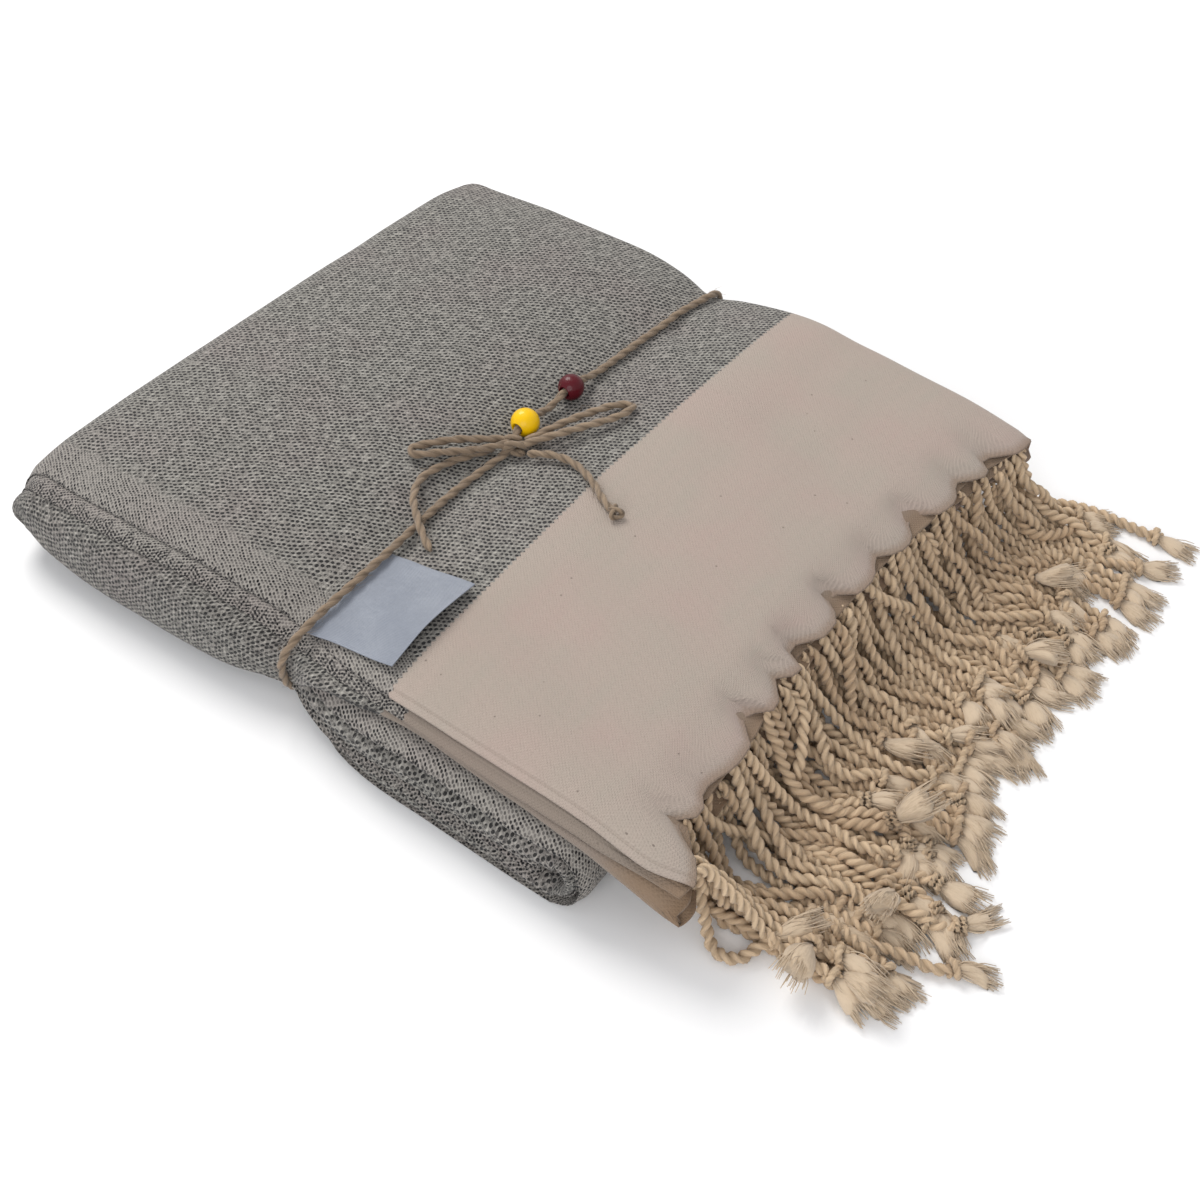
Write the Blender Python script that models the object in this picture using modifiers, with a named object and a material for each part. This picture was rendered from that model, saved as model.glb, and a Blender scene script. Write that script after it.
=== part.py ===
# Folded hammam towel: a flat-woven cloth folded in four across its width and in four along its
# length, tied round the middle with twine. Metres, +Z up. +X runs along the bundle towards the
# fringed end, -Y is the side where the selvedges lie, and z = 0 is the surface it rests on.

import math
import random

import bmesh
import bpy
from mathutils import Vector

# Driving sizes
CLOTH_FILL = 0.62      # share of each layer's pitch that is cloth, the rest is air
LAYERS = 4             # layers in one level of the bundle, from the folds across the width
LEVELS = 4             # levels of the bundle, from the folds along the length
HALF_WIDTH = 0.125     # half the bundle's width at its widest edge
SHOULDER = 0.100       # distance from the centre line where the top starts to fall away
CROWN = 0.0012         # drop of the top from the centre line to the shoulder
SHOULDER_SLOPE = 0.17  # fall of the top past the shoulder
LEFT_CENTRE = -0.1105  # middle of the turns at the folded end
RIGHT_CENTRE = 0.1120  # middle of the turn under the fringed end
TURN_SQUASH = 0.90     # turns are flatter than a half circle
CLOTH_END = 0.1435     # where the top level ends, at the far side
END_LEAN = 0.0080      # how much further the near shoulder of the fringed end reaches
FOLD_LEAN = 0.0028     # how much further the far corner of the folded end reaches
TWINE_X = 0.005        # where the twine crosses the bundle
TWINE_RADIUS = 0.0014
GAP = 0.0003           # air between pieces that touch
END_DROOP = 0.0018     # sag of the overhanging top level
UNDER_DROOP = 0.0075   # further sag of its two lower layers at the near corner
FAR_DROOP = 0.45       # share of that further sag left at the far side
DROOP_LAYERS = (1.9, 3.1)  # depths in the level between which the further sag grows

TURN_STEPS = {"outer": 6, "inner": 4}
LEAN_START = 0.035     # length past the twine over which the lean of the fringed end grows
FOLD_LEAN_SPAN = (-0.04, 0.07)  # where the lean of the folded end starts, and its length
DROOP_START = 0.006    # the overhang starts to sag this far past the turn under it
HIDDEN_END = 0.004     # the plain end inside the bundle stops this far short of the last turn

# One row for each cross section along the bundle: where it is, how high the stack is there, how
# far its underside is lifted over the twine, and how much the sides are drawn in.
STATIONS = (
    {"x": LEFT_CENTRE, "height": 0.0352, "lift": 0.0, "draw": 0.004},
    {"x": -0.0720, "height": 0.0380, "lift": 0.0, "draw": 0.0},
    {"x": -0.0300, "height": 0.0374, "lift": 0.0, "draw": 0.010},
    {"x": TWINE_X - 0.0130, "height": 0.0338, "lift": 0.0, "draw": 0.038},
    {"x": TWINE_X - 0.0030, "height": 0.0318, "lift": 0.0033, "draw": 0.062},
    {"x": TWINE_X + 0.0030, "height": 0.0318, "lift": 0.0033, "draw": 0.062},
    {"x": TWINE_X + 0.0130, "height": 0.0340, "lift": 0.0, "draw": 0.036},
    {"x": 0.0380, "height": 0.0374, "lift": 0.0, "draw": 0.004},
    {"x": 0.0750, "height": 0.0382, "lift": 0.0, "draw": -0.006},
    {"x": RIGHT_CENTRE, "height": 0.0372, "lift": 0.0, "draw": -0.006},
    {"x": 0.1300, "height": 0.0362, "lift": 0.0, "draw": -0.004},
    {"x": CLOTH_END, "height": 0.0350, "lift": 0.0, "draw": 0.0},
)

# One row for each level, top to bottom, with the edges' distances from the centre line: the two
# selvedges and the fold under them on the near side, and the outer fold on the far side. The
# first set is at the folded end and the second at the fringed end.
LEVEL_EDGES = (
    {"selvedge": (0.1150, 0.1215), "second": (0.1205, 0.1250), "fold": (0.1195, 0.1185),
     "far": (0.1190, 0.1185)},
    {"selvedge": (0.1170, 0.1238), "second": (0.1185, 0.1225), "fold": (0.1225, 0.1215),
     "far": (0.1205, 0.1195)},
    {"selvedge": (0.1185, 0.1228), "second": (0.1170, 0.1240), "fold": (0.1240, 0.1228),
     "far": (0.1198, 0.1206)},
    {"selvedge": (0.1230, 0.1262), "second": (0.1215, 0.1248), "fold": (0.1222, 0.1240),
     "far": (0.1212, 0.1200)},
)

FOLD_REACH = {"far": 0.0045, "inner": 0.0022, "near": 0.0030}  # how far each fold's arc reaches out
FOLD_WALL = 0.0007       # half the cloth's thickness at the outermost point of a fold

# One row for each layer of the top level, all of which end in fringe: how many groups of strands,
# how many strands in a group, their middle length and the height at which they lie.
FRINGE_ROWS = (
    {"layer": 0, "groups": 10, "strands": 3, "length": 0.066, "rest": 0.0148},
    {"layer": 1, "groups": 9, "strands": 3, "length": 0.068, "rest": 0.0105},
    {"layer": 2, "groups": 7, "strands": 3, "length": 0.066, "rest": 0.0062},
    {"layer": 3, "groups": 8, "strands": 2, "length": 0.062, "rest": 0.0},
)
STRAND_SIDE = 0.0036     # side of a strand's three-sided section
STRAND_RISE = math.sqrt(3) / 2  # height of that section over its side
STRAND_WANDER = {"reach": 0.0042, "width": 0.016, "turn": 1.9, "aside": 0.002}
STRAND_TAPER = (0.42, 0.78)  # share of that side at the root and one step on
STRAND_SPAN = 0.240      # width over which the groups are spread
ROOT_PITCH = 0.0027      # distance between the roots of one group
SPREAD_LENGTH = 0.035    # distance over which a group fans out
BACKING_DEPTH = 0.0030   # length of the strip that the strands grow from
ROOT_DEPTH = 0.0015      # how deep in it they start
STRAND_STEPS = 5
STRAND_FALL = 0.044      # distance over which a strand comes down
STRAND_SPARE = 0.006     # most that one strand's length differs from its row's
NEAR_STRANDS_LONGER = 0.016

LABEL_SIZE = (0.038, 0.0400)
LABEL_PLACE = (0.0235, -0.0907)  # centre of the label
LABEL_TURN = math.radians(-3.0)
LABEL_THICKNESS = 0.0010
LABEL_CLEAR = 0.0006      # air under the label, more than between other pieces as the cloth bends
LABEL_LIFT = 0.0022       # its fringe-side edge curls up
LABEL_CURL_START = -0.1   # where the curl starts, as a share of the label from its middle
LABEL_CELLS = (6, 8)

# Routes of the twine over the bundle, each stop as x, y and height of its underside over the
# cloth. The order is from the knot outwards, and from the near edge to the far one in the wrap.
BOW_LOOP_LEFT = ((0.0045, -0.0068, 0.0030), (-0.0015, -0.0135, 0.0038), (-0.0095, -0.0225, 0.0032),
                 (-0.0175, -0.0315, 0.0014), (-0.0198, -0.0348, 0.0006), (-0.0165, -0.0368, 0.0010),
                 (-0.0085, -0.0300, 0.0032), (0.0000, -0.0190, 0.0038), (0.0062, -0.0085, 0.0034))
BOW_LOOP_RIGHT = ((0.0100, -0.0035, 0.0030), (0.0150, 0.0090, 0.0036), (0.0195, 0.0205, 0.0024),
                  (0.0238, 0.0305, 0.0008), (0.0292, 0.0330, 0.0004), (0.0288, 0.0245, 0.0012),
                  (0.0225, 0.0120, 0.0024), (0.0160, 0.0010, 0.0034), (0.0105, -0.0055, 0.0030))
FREE_END_LONG = ((0.0146, -0.0088, 0.0020), (0.0230, -0.0062, 0.0014), (0.0330, -0.0062, 0.0004),
                 (0.0440, -0.0100, 0.0), (0.0540, -0.0165, 0.0), (0.0620, -0.0205, 0.0))
FREE_END_SHORT = ((0.0018, -0.0112, 0.0), (-0.0020, -0.0200, 0.0), (-0.0052, -0.0300, 0.0),
                  (-0.0062, -0.0400, 0.0004), (-0.0020, -0.0490, 0.0026), (0.0055, -0.0560, 0.0038),
                  (0.0135, -0.0615, 0.0018), (0.0190, -0.0645, 0.0))
WRAP_TOP = ((0.0085, -0.1060, 0.0017), (0.0086, -0.0938, 0.0020), (0.0084, -0.0820, 0.0018),
            (0.0078, -0.0700, 0.0016), (0.0052, -0.0400, 0.0), (0.0058, -0.0200, 0.0),
            (0.0068, -0.0085, 0.0012),
            (0.0046, -0.0020, 0.0038), (0.0042, 0.0030, 0.0040), (0.0042, 0.0085, 0.0038),
            (0.0043, 0.0160, 0.0020), (0.0044, 0.0245, 0.0035), (0.0045, 0.0290, 0.0036),
            (0.0045, 0.0335, 0.0035), (0.0045, 0.0450, 0.0006), (0.0048, 0.0680, 0.0),
            (0.0058, 0.0850, 0.0002), (0.0062, 0.0938, 0.0003), (0.0070, 0.1030, 0.0))
# The rest of the wrap: down the far side, under the bundle and up the near side, each stop as x,
# distance past the edge of the waist and height, with the underside given as places on y.
WRAP_EDGE = {"far": 0.1215, "near": 0.1250, "clear": 0.0022}
WRAP_FAR = ((0.0080, -0.0050, 0.0300), (0.0075, 0.0004, 0.0240), (0.0060, 0.0006, 0.0090),
            (0.0055, -0.0030, 0.0030))
WRAP_UNDER = (0.1040, 0.0600, 0.0, -0.0600, -0.1040)
WRAP_NEAR = ((0.0048, -0.0045, 0.0017), (0.0045, -0.0008, 0.0024), (0.0045, 0.0003, 0.0070),
             (0.0062, 0.0004, 0.0220), (0.0082, -0.0042, 0.0297))
WRAP_POINTS = 72
ROUTE_POINTS = 16
KNOT_PLACE = (0.0078, -0.0068)
KNOT_SIZE = (0.0052, 0.0042, 0.0032)
YELLOW_BEAD = {"stop": 8, "radius": 0.0052}  # the stop of WRAP_TOP that each bead sits on
RED_BEAD = {"stop": 12, "radius": 0.0048}
BEAD_BORE = 0.0021

COLOURS = {
    "cloth": ((0.43, 0.39, 0.33), 0.92),
    "fringe": ((0.62, 0.50, 0.34), 0.90),
    "twine": ((0.33, 0.24, 0.15), 0.92),
    "label": ((0.52, 0.56, 0.66), 0.45),
    "bead_yellow": ((0.80, 0.55, 0.01), 0.15),
    "bead_red": ((0.18, 0.01, 0.02), 0.18),
}


def clear_scene():
    for thing in list(bpy.data.objects):
        bpy.data.objects.remove(thing, do_unlink=True)


def make_material(name):
    colour, roughness = COLOURS[name]
    material = bpy.data.materials.new(name)
    material.use_nodes = True
    shader = material.node_tree.nodes["Principled BSDF"]
    shader.inputs["Base Color"].default_value = (*colour, 1.0)
    shader.inputs["Roughness"].default_value = roughness
    shader.inputs["Metallic"].default_value = 0.0
    return material


def between(rows, key, x):
    if x <= rows[0]["x"]:
        return rows[0][key]
    for first, second in zip(rows, rows[1:]):
        if x <= second["x"]:
            share = (x - first["x"]) / (second["x"] - first["x"])
            return first[key] + (second[key] - first[key]) * share
    return rows[-1][key]


def ease(value):
    value = min(1.0, max(0.0, value))
    return value * value * (3.0 - 2.0 * value)


# The stack of layers. A place in it is given by x and y before the bundle is drawn in, and by
# its depth in layers, 0 under the bottom layer and 16 over the top one.
ALL_LAYERS = LAYERS * LEVELS
UNDER_AIR = (1.0 - CLOTH_FILL) / 2


def stack_height(x, y):
    across = abs(y)
    drop = CROWN * min(1.0, across / SHOULDER) + SHOULDER_SLOPE * max(0.0, across - SHOULDER)
    return between(STATIONS, "height", x) - drop


def layer_pitch(x, y):
    room = stack_height(x, y) - between(STATIONS, "lift", x)
    return room / (ALL_LAYERS - 2 * UNDER_AIR)


def lean(x, y):
    along = ease((x - TWINE_X) / LEAN_START)
    towards_near = max(0.0, -y) / SHOULDER
    start, length = FOLD_LEAN_SPAN
    left = ease((start - x) / length)
    return END_LEAN * along * towards_near - FOLD_LEAN * left * y / HALF_WIDTH


def warped(x, y, z):
    drawn_in = 1.0 - between(STATIONS, "draw", x)
    return Vector((x + lean(x, y), y * drawn_in, z))


def flat_place(depth, x, y):
    z = between(STATIONS, "lift", x) + (depth - UNDER_AIR) * layer_pitch(x, y)
    return warped(x, y, z)


def turned_place(centre_x, centre_depth, side, angle, depth, y):
    pitch = layer_pitch(centre_x, y)
    radius = (depth - centre_depth) * pitch
    middle = (centre_depth - UNDER_AIR) * pitch
    x = centre_x + side * TURN_SQUASH * radius * math.cos(angle)
    return warped(x, y, middle + radius * math.sin(angle))


def overhang_place(layer_depth, x, y):
    place = flat_place(ALL_LAYERS - layer_depth, x, y)
    start = RIGHT_CENTRE + DROOP_START
    out = ease((x - start) / (CLOTH_END - start))
    near = FAR_DROOP + (1.0 - FAR_DROOP) * ease((HALF_WIDTH / 2 - y) / (1.4 * HALF_WIDTH))
    shallow, deep = DROOP_LAYERS
    under = min(1.0, max(0.0, (layer_depth - shallow) / (deep - shallow)))
    place.z -= out * (END_DROOP + UNDER_DROOP * near * under)
    return place


# Rings of the sweep. Each ring gives the level whose edges it takes, how far along the bundle
# it is, and a function from a point of the section to space.
def flat_ring(level, x):
    depths = (
        lambda q: ALL_LAYERS - q,
        lambda q: 12 - q,
        lambda q: 4 + q,
        lambda q: q,
    )
    depth = depths[level]
    if level == 0:
        return level, level, 0.0, x, lambda y, q: overhang_place(q, x, y)
    return level, level, 0.0, x, lambda y, q: flat_place(depth(q), x, y)


def turn_rings(upper, lower, centre_x, side, centre_depth, start_depth, steps, downwards):
    rings = []
    for step in range(steps + 1):
        share = step / steps
        angle = math.pi * (0.5 - share) if downwards else math.pi * (share - 0.5)
        first, second = (upper, lower) if downwards else (lower, upper)
        rings.append((first, second, share, centre_x,
                      lambda y, q, a=angle: turned_place(centre_x, centre_depth, side, a,
                                                         start_depth - q, y)))
    return rings


def bundle_rings():
    inner = [row["x"] for row in STATIONS if LEFT_CENTRE < row["x"] < RIGHT_CENTRE]
    outside = [row["x"] for row in reversed(STATIONS) if row["x"] >= RIGHT_CENTRE]
    rings = [flat_ring(0, x) for x in outside + inner[::-1]]
    rings += turn_rings(0, 3, LEFT_CENTRE, -1, 8, ALL_LAYERS, TURN_STEPS["outer"], True)
    rings += [flat_ring(3, x) for x in inner]
    rings += turn_rings(1, 3, RIGHT_CENTRE, 1, 6, 12, TURN_STEPS["outer"], False)
    rings += [flat_ring(1, x) for x in inner[::-1]]
    rings += turn_rings(1, 2, LEFT_CENTRE, -1, 8, 12, TURN_STEPS["inner"], True)
    rings += [flat_ring(2, x) for x in inner]
    rings.append(flat_ring(2, RIGHT_CENTRE - HIDDEN_END))
    return rings


def edge_distance(first, second, share, x, name):
    along = ease((x - TWINE_X + 0.05) / 0.10)
    reach = []
    for level in (first, second):
        left, right = LEVEL_EDGES[level][name]
        reach.append(left + (right - left) * along)
    return reach[0] + (reach[1] - reach[0]) * share


# The section of one level: the cloth runs from the top selvedge to the far side, round under
# the other layers to the near fold, back to the far side and out again to the second selvedge.
# Both faces of the cloth are listed, each as (y, depth in the level).
def cloth_section(selvedge, second, fold, far):
    thick = CLOTH_FILL
    faces = ([], [])

    def run(depth, places, sign):
        for y in places:
            faces[0].append((y, depth - sign * thick / 2))
            faces[1].append((y, depth + sign * thick / 2))

    def bend(centre, reach, radius, angles, sign):
        for angle in angles:
            for face, way in zip(faces, (sign, -sign)):
                y = centre[0] + (reach + way * FOLD_WALL) * math.cos(angle)
                face.append((y, centre[1] + (radius + way * thick / 2) * math.sin(angle)))

    far_centre = far - FOLD_REACH["far"]
    near_centre = -fold + FOLD_REACH["near"]
    steps = (-SHOULDER, 0.0, SHOULDER)
    half = math.pi / 2
    run(0.5, (-selvedge, *steps), 1)
    bend((far_centre, 2.0), FOLD_REACH["far"], 1.5, [-half + half * i / 2 for i in range(5)], 1)
    run(3.5, steps[::-1], -1)
    bend((near_centre, 3.0), FOLD_REACH["near"], 0.5, [half + half * i / 2 for i in range(5)], 1)
    run(2.5, steps, 1)
    bend((far_centre, 2.0), FOLD_REACH["inner"], 0.5, [half - half * 2 * i / 3 for i in range(4)], -1)
    run(1.5, (*steps[::-1], -second), -1)
    return faces


def loft_cloth(name, rings):
    mesh = bmesh.new()
    walls = []
    for first, second, share, x, place in rings:
        edges = [edge_distance(first, second, share, x, key)
                 for key in ("selvedge", "second", "fold", "far")]
        section = cloth_section(*edges)
        walls.append([[mesh.verts.new(place(y, q)) for y, q in face] for face in section])
    last = len(walls[0][0]) - 1
    for near, far in zip(walls, walls[1:]):
        for a, b in zip(near, far):
            for i in range(last):
                mesh.faces.new((a[i], a[i + 1], b[i + 1], b[i]))
        for i in (0, last):
            mesh.faces.new((near[0][i], near[1][i], far[1][i], far[0][i]))
    for wall in (walls[0], walls[-1]):
        for i in range(last):
            mesh.faces.new((wall[0][i], wall[0][i + 1], wall[1][i + 1], wall[1][i]))
    bmesh.ops.recalc_face_normals(mesh, faces=mesh.faces)
    return mesh_object(name, mesh)


def mesh_object(name, mesh):
    data = bpy.data.meshes.new(name)
    mesh.to_mesh(data)
    mesh.free()
    return bpy.data.objects.new(name, data)


def link(thing, collection, material=None):
    collection.objects.link(thing)
    if material:
        thing.data.materials.append(material)
    return thing


def smooth(thing, degrees=50):
    thing.data.shade_smooth()
    thing.data.set_sharp_from_angle(angle=math.radians(degrees))


# Fringe: the cloth's end strip with a strand out of each group of warp threads.
def strand_route(row, root_y, lying_y, length):
    root = overhang_place(row["layer"] + 0.5, CLOTH_END, root_y)
    wave = math.sin(lying_y / STRAND_WANDER["width"] + STRAND_WANDER["turn"] * row["layer"])
    wander = STRAND_WANDER["reach"] * wave - STRAND_WANDER["aside"]
    points = []
    for step in range(STRAND_STEPS + 1):
        along = length * step / STRAND_STEPS
        aside = (lying_y - root_y) * ease(along / SPREAD_LENGTH) + wander * (along / length) ** 2
        height = root.z + (row["rest"] - root.z) * ease(along / STRAND_FALL)
        points.append(Vector((root.x + ROOT_DEPTH + along, root.y + aside, height)))
    return points


def add_strand(mesh, points):
    rings = []
    for index, point in enumerate(points):
        size = STRAND_SIDE * (STRAND_TAPER[index] if index < len(STRAND_TAPER) else 1.0)
        rise = size * STRAND_RISE
        base = point.z - (rise / 3 if point.z > STRAND_SIDE else 0.0)
        corners = ((-size / 2, 0.0), (size / 2, 0.0), (0.0, rise))
        rings.append([mesh.verts.new((point.x, point.y + y, base + z)) for y, z in corners])
    for near, far in zip(rings, rings[1:]):
        for i in range(3):
            j = (i + 1) % 3
            mesh.faces.new((near[i], near[j], far[j], far[i]))
    mesh.faces.new(rings[0])
    mesh.faces.new(rings[-1])


def make_fringe(collection, helpers, material):
    chance = random.Random(7)
    strands = bmesh.new()
    for row in FRINGE_ROWS:
        group_span = STRAND_SPAN / row["groups"]
        for place in range(row["groups"] * row["strands"]):
            group, member = divmod(place, row["strands"])
            middle = group_span * (group + 0.5) - STRAND_SPAN / 2
            offset = member - (row["strands"] - 1) / 2
            root_y = middle + offset * ROOT_PITCH
            lying_y = middle + offset * group_span / row["strands"]
            longer = NEAR_STRANDS_LONGER * ease(-root_y / 0.11)
            spare = chance.uniform(-STRAND_SPARE, STRAND_SPARE)
            add_strand(strands, strand_route(row, root_y, lying_y, row["length"] + longer + spare))
    bmesh.ops.recalc_face_normals(strands, faces=strands.faces)
    strands = link(mesh_object("strand_shapes", strands), helpers)
    strands.hide_render = True
    strands.display_type = "WIRE"
    start = CLOTH_END + GAP
    backing = loft_cloth("fringe", [flat_ring(0, start), flat_ring(0, start + BACKING_DEPTH)])
    link(backing, collection, material)
    join = backing.modifiers.new("strands", "BOOLEAN")
    join.operation = "UNION"
    join.object = strands
    return backing


# Twine, bow and beads.
def cloth_top(x, y):
    start = x
    for _ in range(4):
        start = x - lean(start, y)
    drawn_in = 1.0 - between(STATIONS, "draw", start)
    return flat_place(ALL_LAYERS - UNDER_AIR, start, y / drawn_in).z


def spline_points(stops, count, closed=False):
    total = len(stops)
    spans = total if closed else total - 1
    points = []
    for index in range(count):
        place = index * spans / (count if closed else count - 1)
        span = min(int(place), spans - 1)
        t = place - span
        if closed:
            a, b, c, d = (stops[(span + k) % total] for k in (-1, 0, 1, 2))
        else:
            a, b, c, d = (stops[min(max(span + k, 0), total - 1)] for k in (-1, 0, 1, 2))
        points.append(0.5 * (2 * b + (c - a) * t + (2 * a - 5 * b + 4 * c - d) * t * t
                             + (3 * b - a - 3 * c + d) * t * t * t))
    return points


def tube(name, points, radius, closed=False):
    curve = bpy.data.curves.new(name, "CURVE")
    curve.dimensions = "3D"
    curve.bevel_depth = radius
    curve.bevel_resolution = 2
    curve.use_fill_caps = not closed
    line = curve.splines.new("POLY")
    line.points.add(len(points) - 1)
    for spot, point in zip(line.points, points):
        spot.co = (*point, 1.0)
    line.use_cyclic_u = closed
    return bpy.data.objects.new(name, curve)


def as_mesh(thing, collection):
    collection.objects.link(thing)
    graph = bpy.context.evaluated_depsgraph_get()
    data = bpy.data.meshes.new_from_object(thing.evaluated_get(graph))
    mesh = bmesh.new()
    mesh.from_mesh(data)
    bmesh.ops.remove_doubles(mesh, verts=mesh.verts, dist=1e-6)
    bmesh.ops.recalc_face_normals(mesh, faces=mesh.faces)
    mesh.to_mesh(data)
    mesh.free()
    name = thing.name
    bpy.data.objects.remove(thing, do_unlink=True)
    return bpy.data.objects.new(name, data)


def over_cloth(x, y, height):
    return Vector((x, y, cloth_top(x, y) + GAP + TWINE_RADIUS + height))


def laid_route(stops):
    smoothed = spline_points([Vector(stop) for stop in stops], ROUTE_POINTS)
    return [over_cloth(*stop) for stop in smoothed]


def wrap_route():
    waist = 1.0 - between(STATIONS, "draw", TWINE_X)
    far_edge = WRAP_EDGE["far"] * waist + WRAP_EDGE["clear"]
    near_edge = WRAP_EDGE["near"] * waist + WRAP_EDGE["clear"]
    under = TWINE_RADIUS + GAP
    stops = [over_cloth(*stop) for stop in WRAP_TOP]
    stops += [Vector((x, far_edge + past, z)) for x, past, z in WRAP_FAR]
    stops += [Vector((TWINE_X, y, under)) for y in WRAP_UNDER]
    stops += [Vector((x, -near_edge - past, z)) for x, past, z in WRAP_NEAR]
    return spline_points(stops, WRAP_POINTS, closed=True)


def knot_height():
    x, y = KNOT_PLACE
    return cloth_top(x, y) + GAP + KNOT_SIZE[2]


def make_ball(name, place, size, detail=(12, 8)):
    mesh = bmesh.new()
    bmesh.ops.create_uvsphere(mesh, u_segments=detail[0], v_segments=detail[1], radius=1.0)
    bmesh.ops.scale(mesh, vec=size, verts=mesh.verts)
    ball = mesh_object(name, mesh)
    ball.location = place
    return ball


def join_onto(thing, pieces):
    for piece in pieces:
        piece.hide_render = True
        piece.display_type = "WIRE"
        union = thing.modifiers.new(piece.name, "BOOLEAN")
        union.operation = "UNION"
        union.object = piece


def make_tie(collection, helpers, material):
    wrap = as_mesh(tube("twine_tie", wrap_route(), TWINE_RADIUS, closed=True), helpers)
    left = as_mesh(tube("bow_loop_left", laid_route(BOW_LOOP_LEFT), TWINE_RADIUS), helpers)
    right = as_mesh(tube("bow_loop_right", laid_route(BOW_LOOP_RIGHT), TWINE_RADIUS), helpers)
    knot = make_ball("knot", (*KNOT_PLACE, knot_height()), KNOT_SIZE)
    for piece in (left, right, knot):
        helpers.objects.link(piece)
    link(wrap, collection, material)
    join_onto(wrap, (knot, left, right))
    return wrap


def make_free_ends(collection, material):
    for name, stops in (("twine_end_long", FREE_END_LONG), ("twine_end_short", FREE_END_SHORT)):
        link(tube(name, laid_route(stops), TWINE_RADIUS), collection, material)


def make_label(collection, material):
    mesh = bmesh.new()
    bmesh.ops.create_grid(mesh, x_segments=LABEL_CELLS[0], y_segments=LABEL_CELLS[1], size=0.5)
    for vert in mesh.verts:
        u, v = vert.co.x, vert.co.y
        x = u * LABEL_SIZE[0]
        y = v * LABEL_SIZE[1]
        spot = Vector((LABEL_PLACE[0] + x * math.cos(LABEL_TURN) - y * math.sin(LABEL_TURN),
                       LABEL_PLACE[1] + x * math.sin(LABEL_TURN) + y * math.cos(LABEL_TURN)))
        curl = LABEL_LIFT * (max(0.0, u - LABEL_CURL_START) / (0.5 - LABEL_CURL_START)) ** 2
        vert.co = (spot.x, spot.y, cloth_top(spot.x, spot.y) + LABEL_CLEAR + curl)
    label = link(mesh_object("label", mesh), collection, material)
    shell = label.modifiers.new("thickness", "SOLIDIFY")
    shell.thickness = LABEL_THICKNESS
    shell.offset = 1.0
    return label


def make_bead(name, bead, collection, helpers, material):
    before, stop, after = (over_cloth(*WRAP_TOP[bead["stop"] + k]) for k in (-1, 0, 1))
    ball = link(make_ball(name, stop, (bead["radius"],) * 3), collection, material)
    mesh = bmesh.new()
    bmesh.ops.create_cone(mesh, cap_ends=True, segments=12, radius1=BEAD_BORE, radius2=BEAD_BORE,
                          depth=4 * bead["radius"])
    bore = link(mesh_object(name + "_bore", mesh), helpers)
    bore.location = stop
    bore.rotation_mode = "QUATERNION"
    bore.rotation_quaternion = (after - before).to_track_quat("Z", "Y")
    bore.hide_render = True
    bore.display_type = "WIRE"
    cut = ball.modifiers.new("bore", "BOOLEAN")
    cut.operation = "DIFFERENCE"
    cut.object = bore
    smooth(ball)


def centre_on_origin(pieces, helpers):
    bpy.context.view_layer.update()
    graph = bpy.context.evaluated_depsgraph_get()
    reach = ([], [])
    for thing in pieces:
        solid = thing.evaluated_get(graph)
        for vert in solid.to_mesh().vertices:
            place = thing.matrix_world @ vert.co
            reach[0].append(place.x)
            reach[1].append(place.y)
        solid.to_mesh_clear()
    middle = bpy.data.objects.new("bundle_middle", None)
    middle.location = (*(-(min(side) + max(side)) / 2 for side in reach), 0.0)
    bpy.context.scene.collection.objects.link(middle)
    for thing in (*pieces, *helpers):
        thing.parent = middle


def main():
    clear_scene()
    root = bpy.context.scene.collection
    towel = bpy.data.collections.new("hammam_towel")
    helpers = bpy.data.collections.new("helpers")
    root.children.link(towel)
    root.children.link(helpers)
    materials = {name: make_material(name) for name in COLOURS}
    cloth = link(loft_cloth("cloth", bundle_rings()), towel, materials["cloth"])
    smooth(cloth, 40)
    make_fringe(towel, helpers, materials["fringe"])
    make_tie(towel, helpers, materials["twine"])
    make_free_ends(towel, materials["twine"])
    make_label(towel, materials["label"])
    make_bead("bead_yellow", YELLOW_BEAD, towel, helpers, materials["bead_yellow"])
    make_bead("bead_red", RED_BEAD, towel, helpers, materials["bead_red"])
    centre_on_origin(list(towel.objects), list(helpers.objects))


main()
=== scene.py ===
import math

import bpy
import numpy as np
from mathutils import Matrix, Vector


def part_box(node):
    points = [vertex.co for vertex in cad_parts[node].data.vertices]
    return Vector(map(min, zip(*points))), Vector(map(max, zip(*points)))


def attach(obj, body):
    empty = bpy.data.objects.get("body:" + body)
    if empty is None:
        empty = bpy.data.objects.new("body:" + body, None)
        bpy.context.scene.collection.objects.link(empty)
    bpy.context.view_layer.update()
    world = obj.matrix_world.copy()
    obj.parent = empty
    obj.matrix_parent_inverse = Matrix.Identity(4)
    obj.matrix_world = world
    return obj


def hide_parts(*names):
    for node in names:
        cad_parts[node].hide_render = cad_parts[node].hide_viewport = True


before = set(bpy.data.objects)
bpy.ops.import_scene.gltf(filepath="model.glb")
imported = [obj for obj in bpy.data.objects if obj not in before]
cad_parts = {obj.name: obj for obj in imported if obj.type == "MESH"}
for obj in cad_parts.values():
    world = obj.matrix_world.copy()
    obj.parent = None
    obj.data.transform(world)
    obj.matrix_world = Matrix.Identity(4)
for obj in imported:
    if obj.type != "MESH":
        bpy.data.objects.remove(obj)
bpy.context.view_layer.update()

# The tables below are in the bundle's own frame. The yellow bead says where that frame lies.
beadLow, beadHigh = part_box("bead_yellow")
beadHome = (0.0042, 0.0030)
shift = np.array([(beadLow.x + beadHigh.x) / 2 - beadHome[0],
                  (beadLow.y + beadHigh.y) / 2 - beadHome[1], 0.0])

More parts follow.
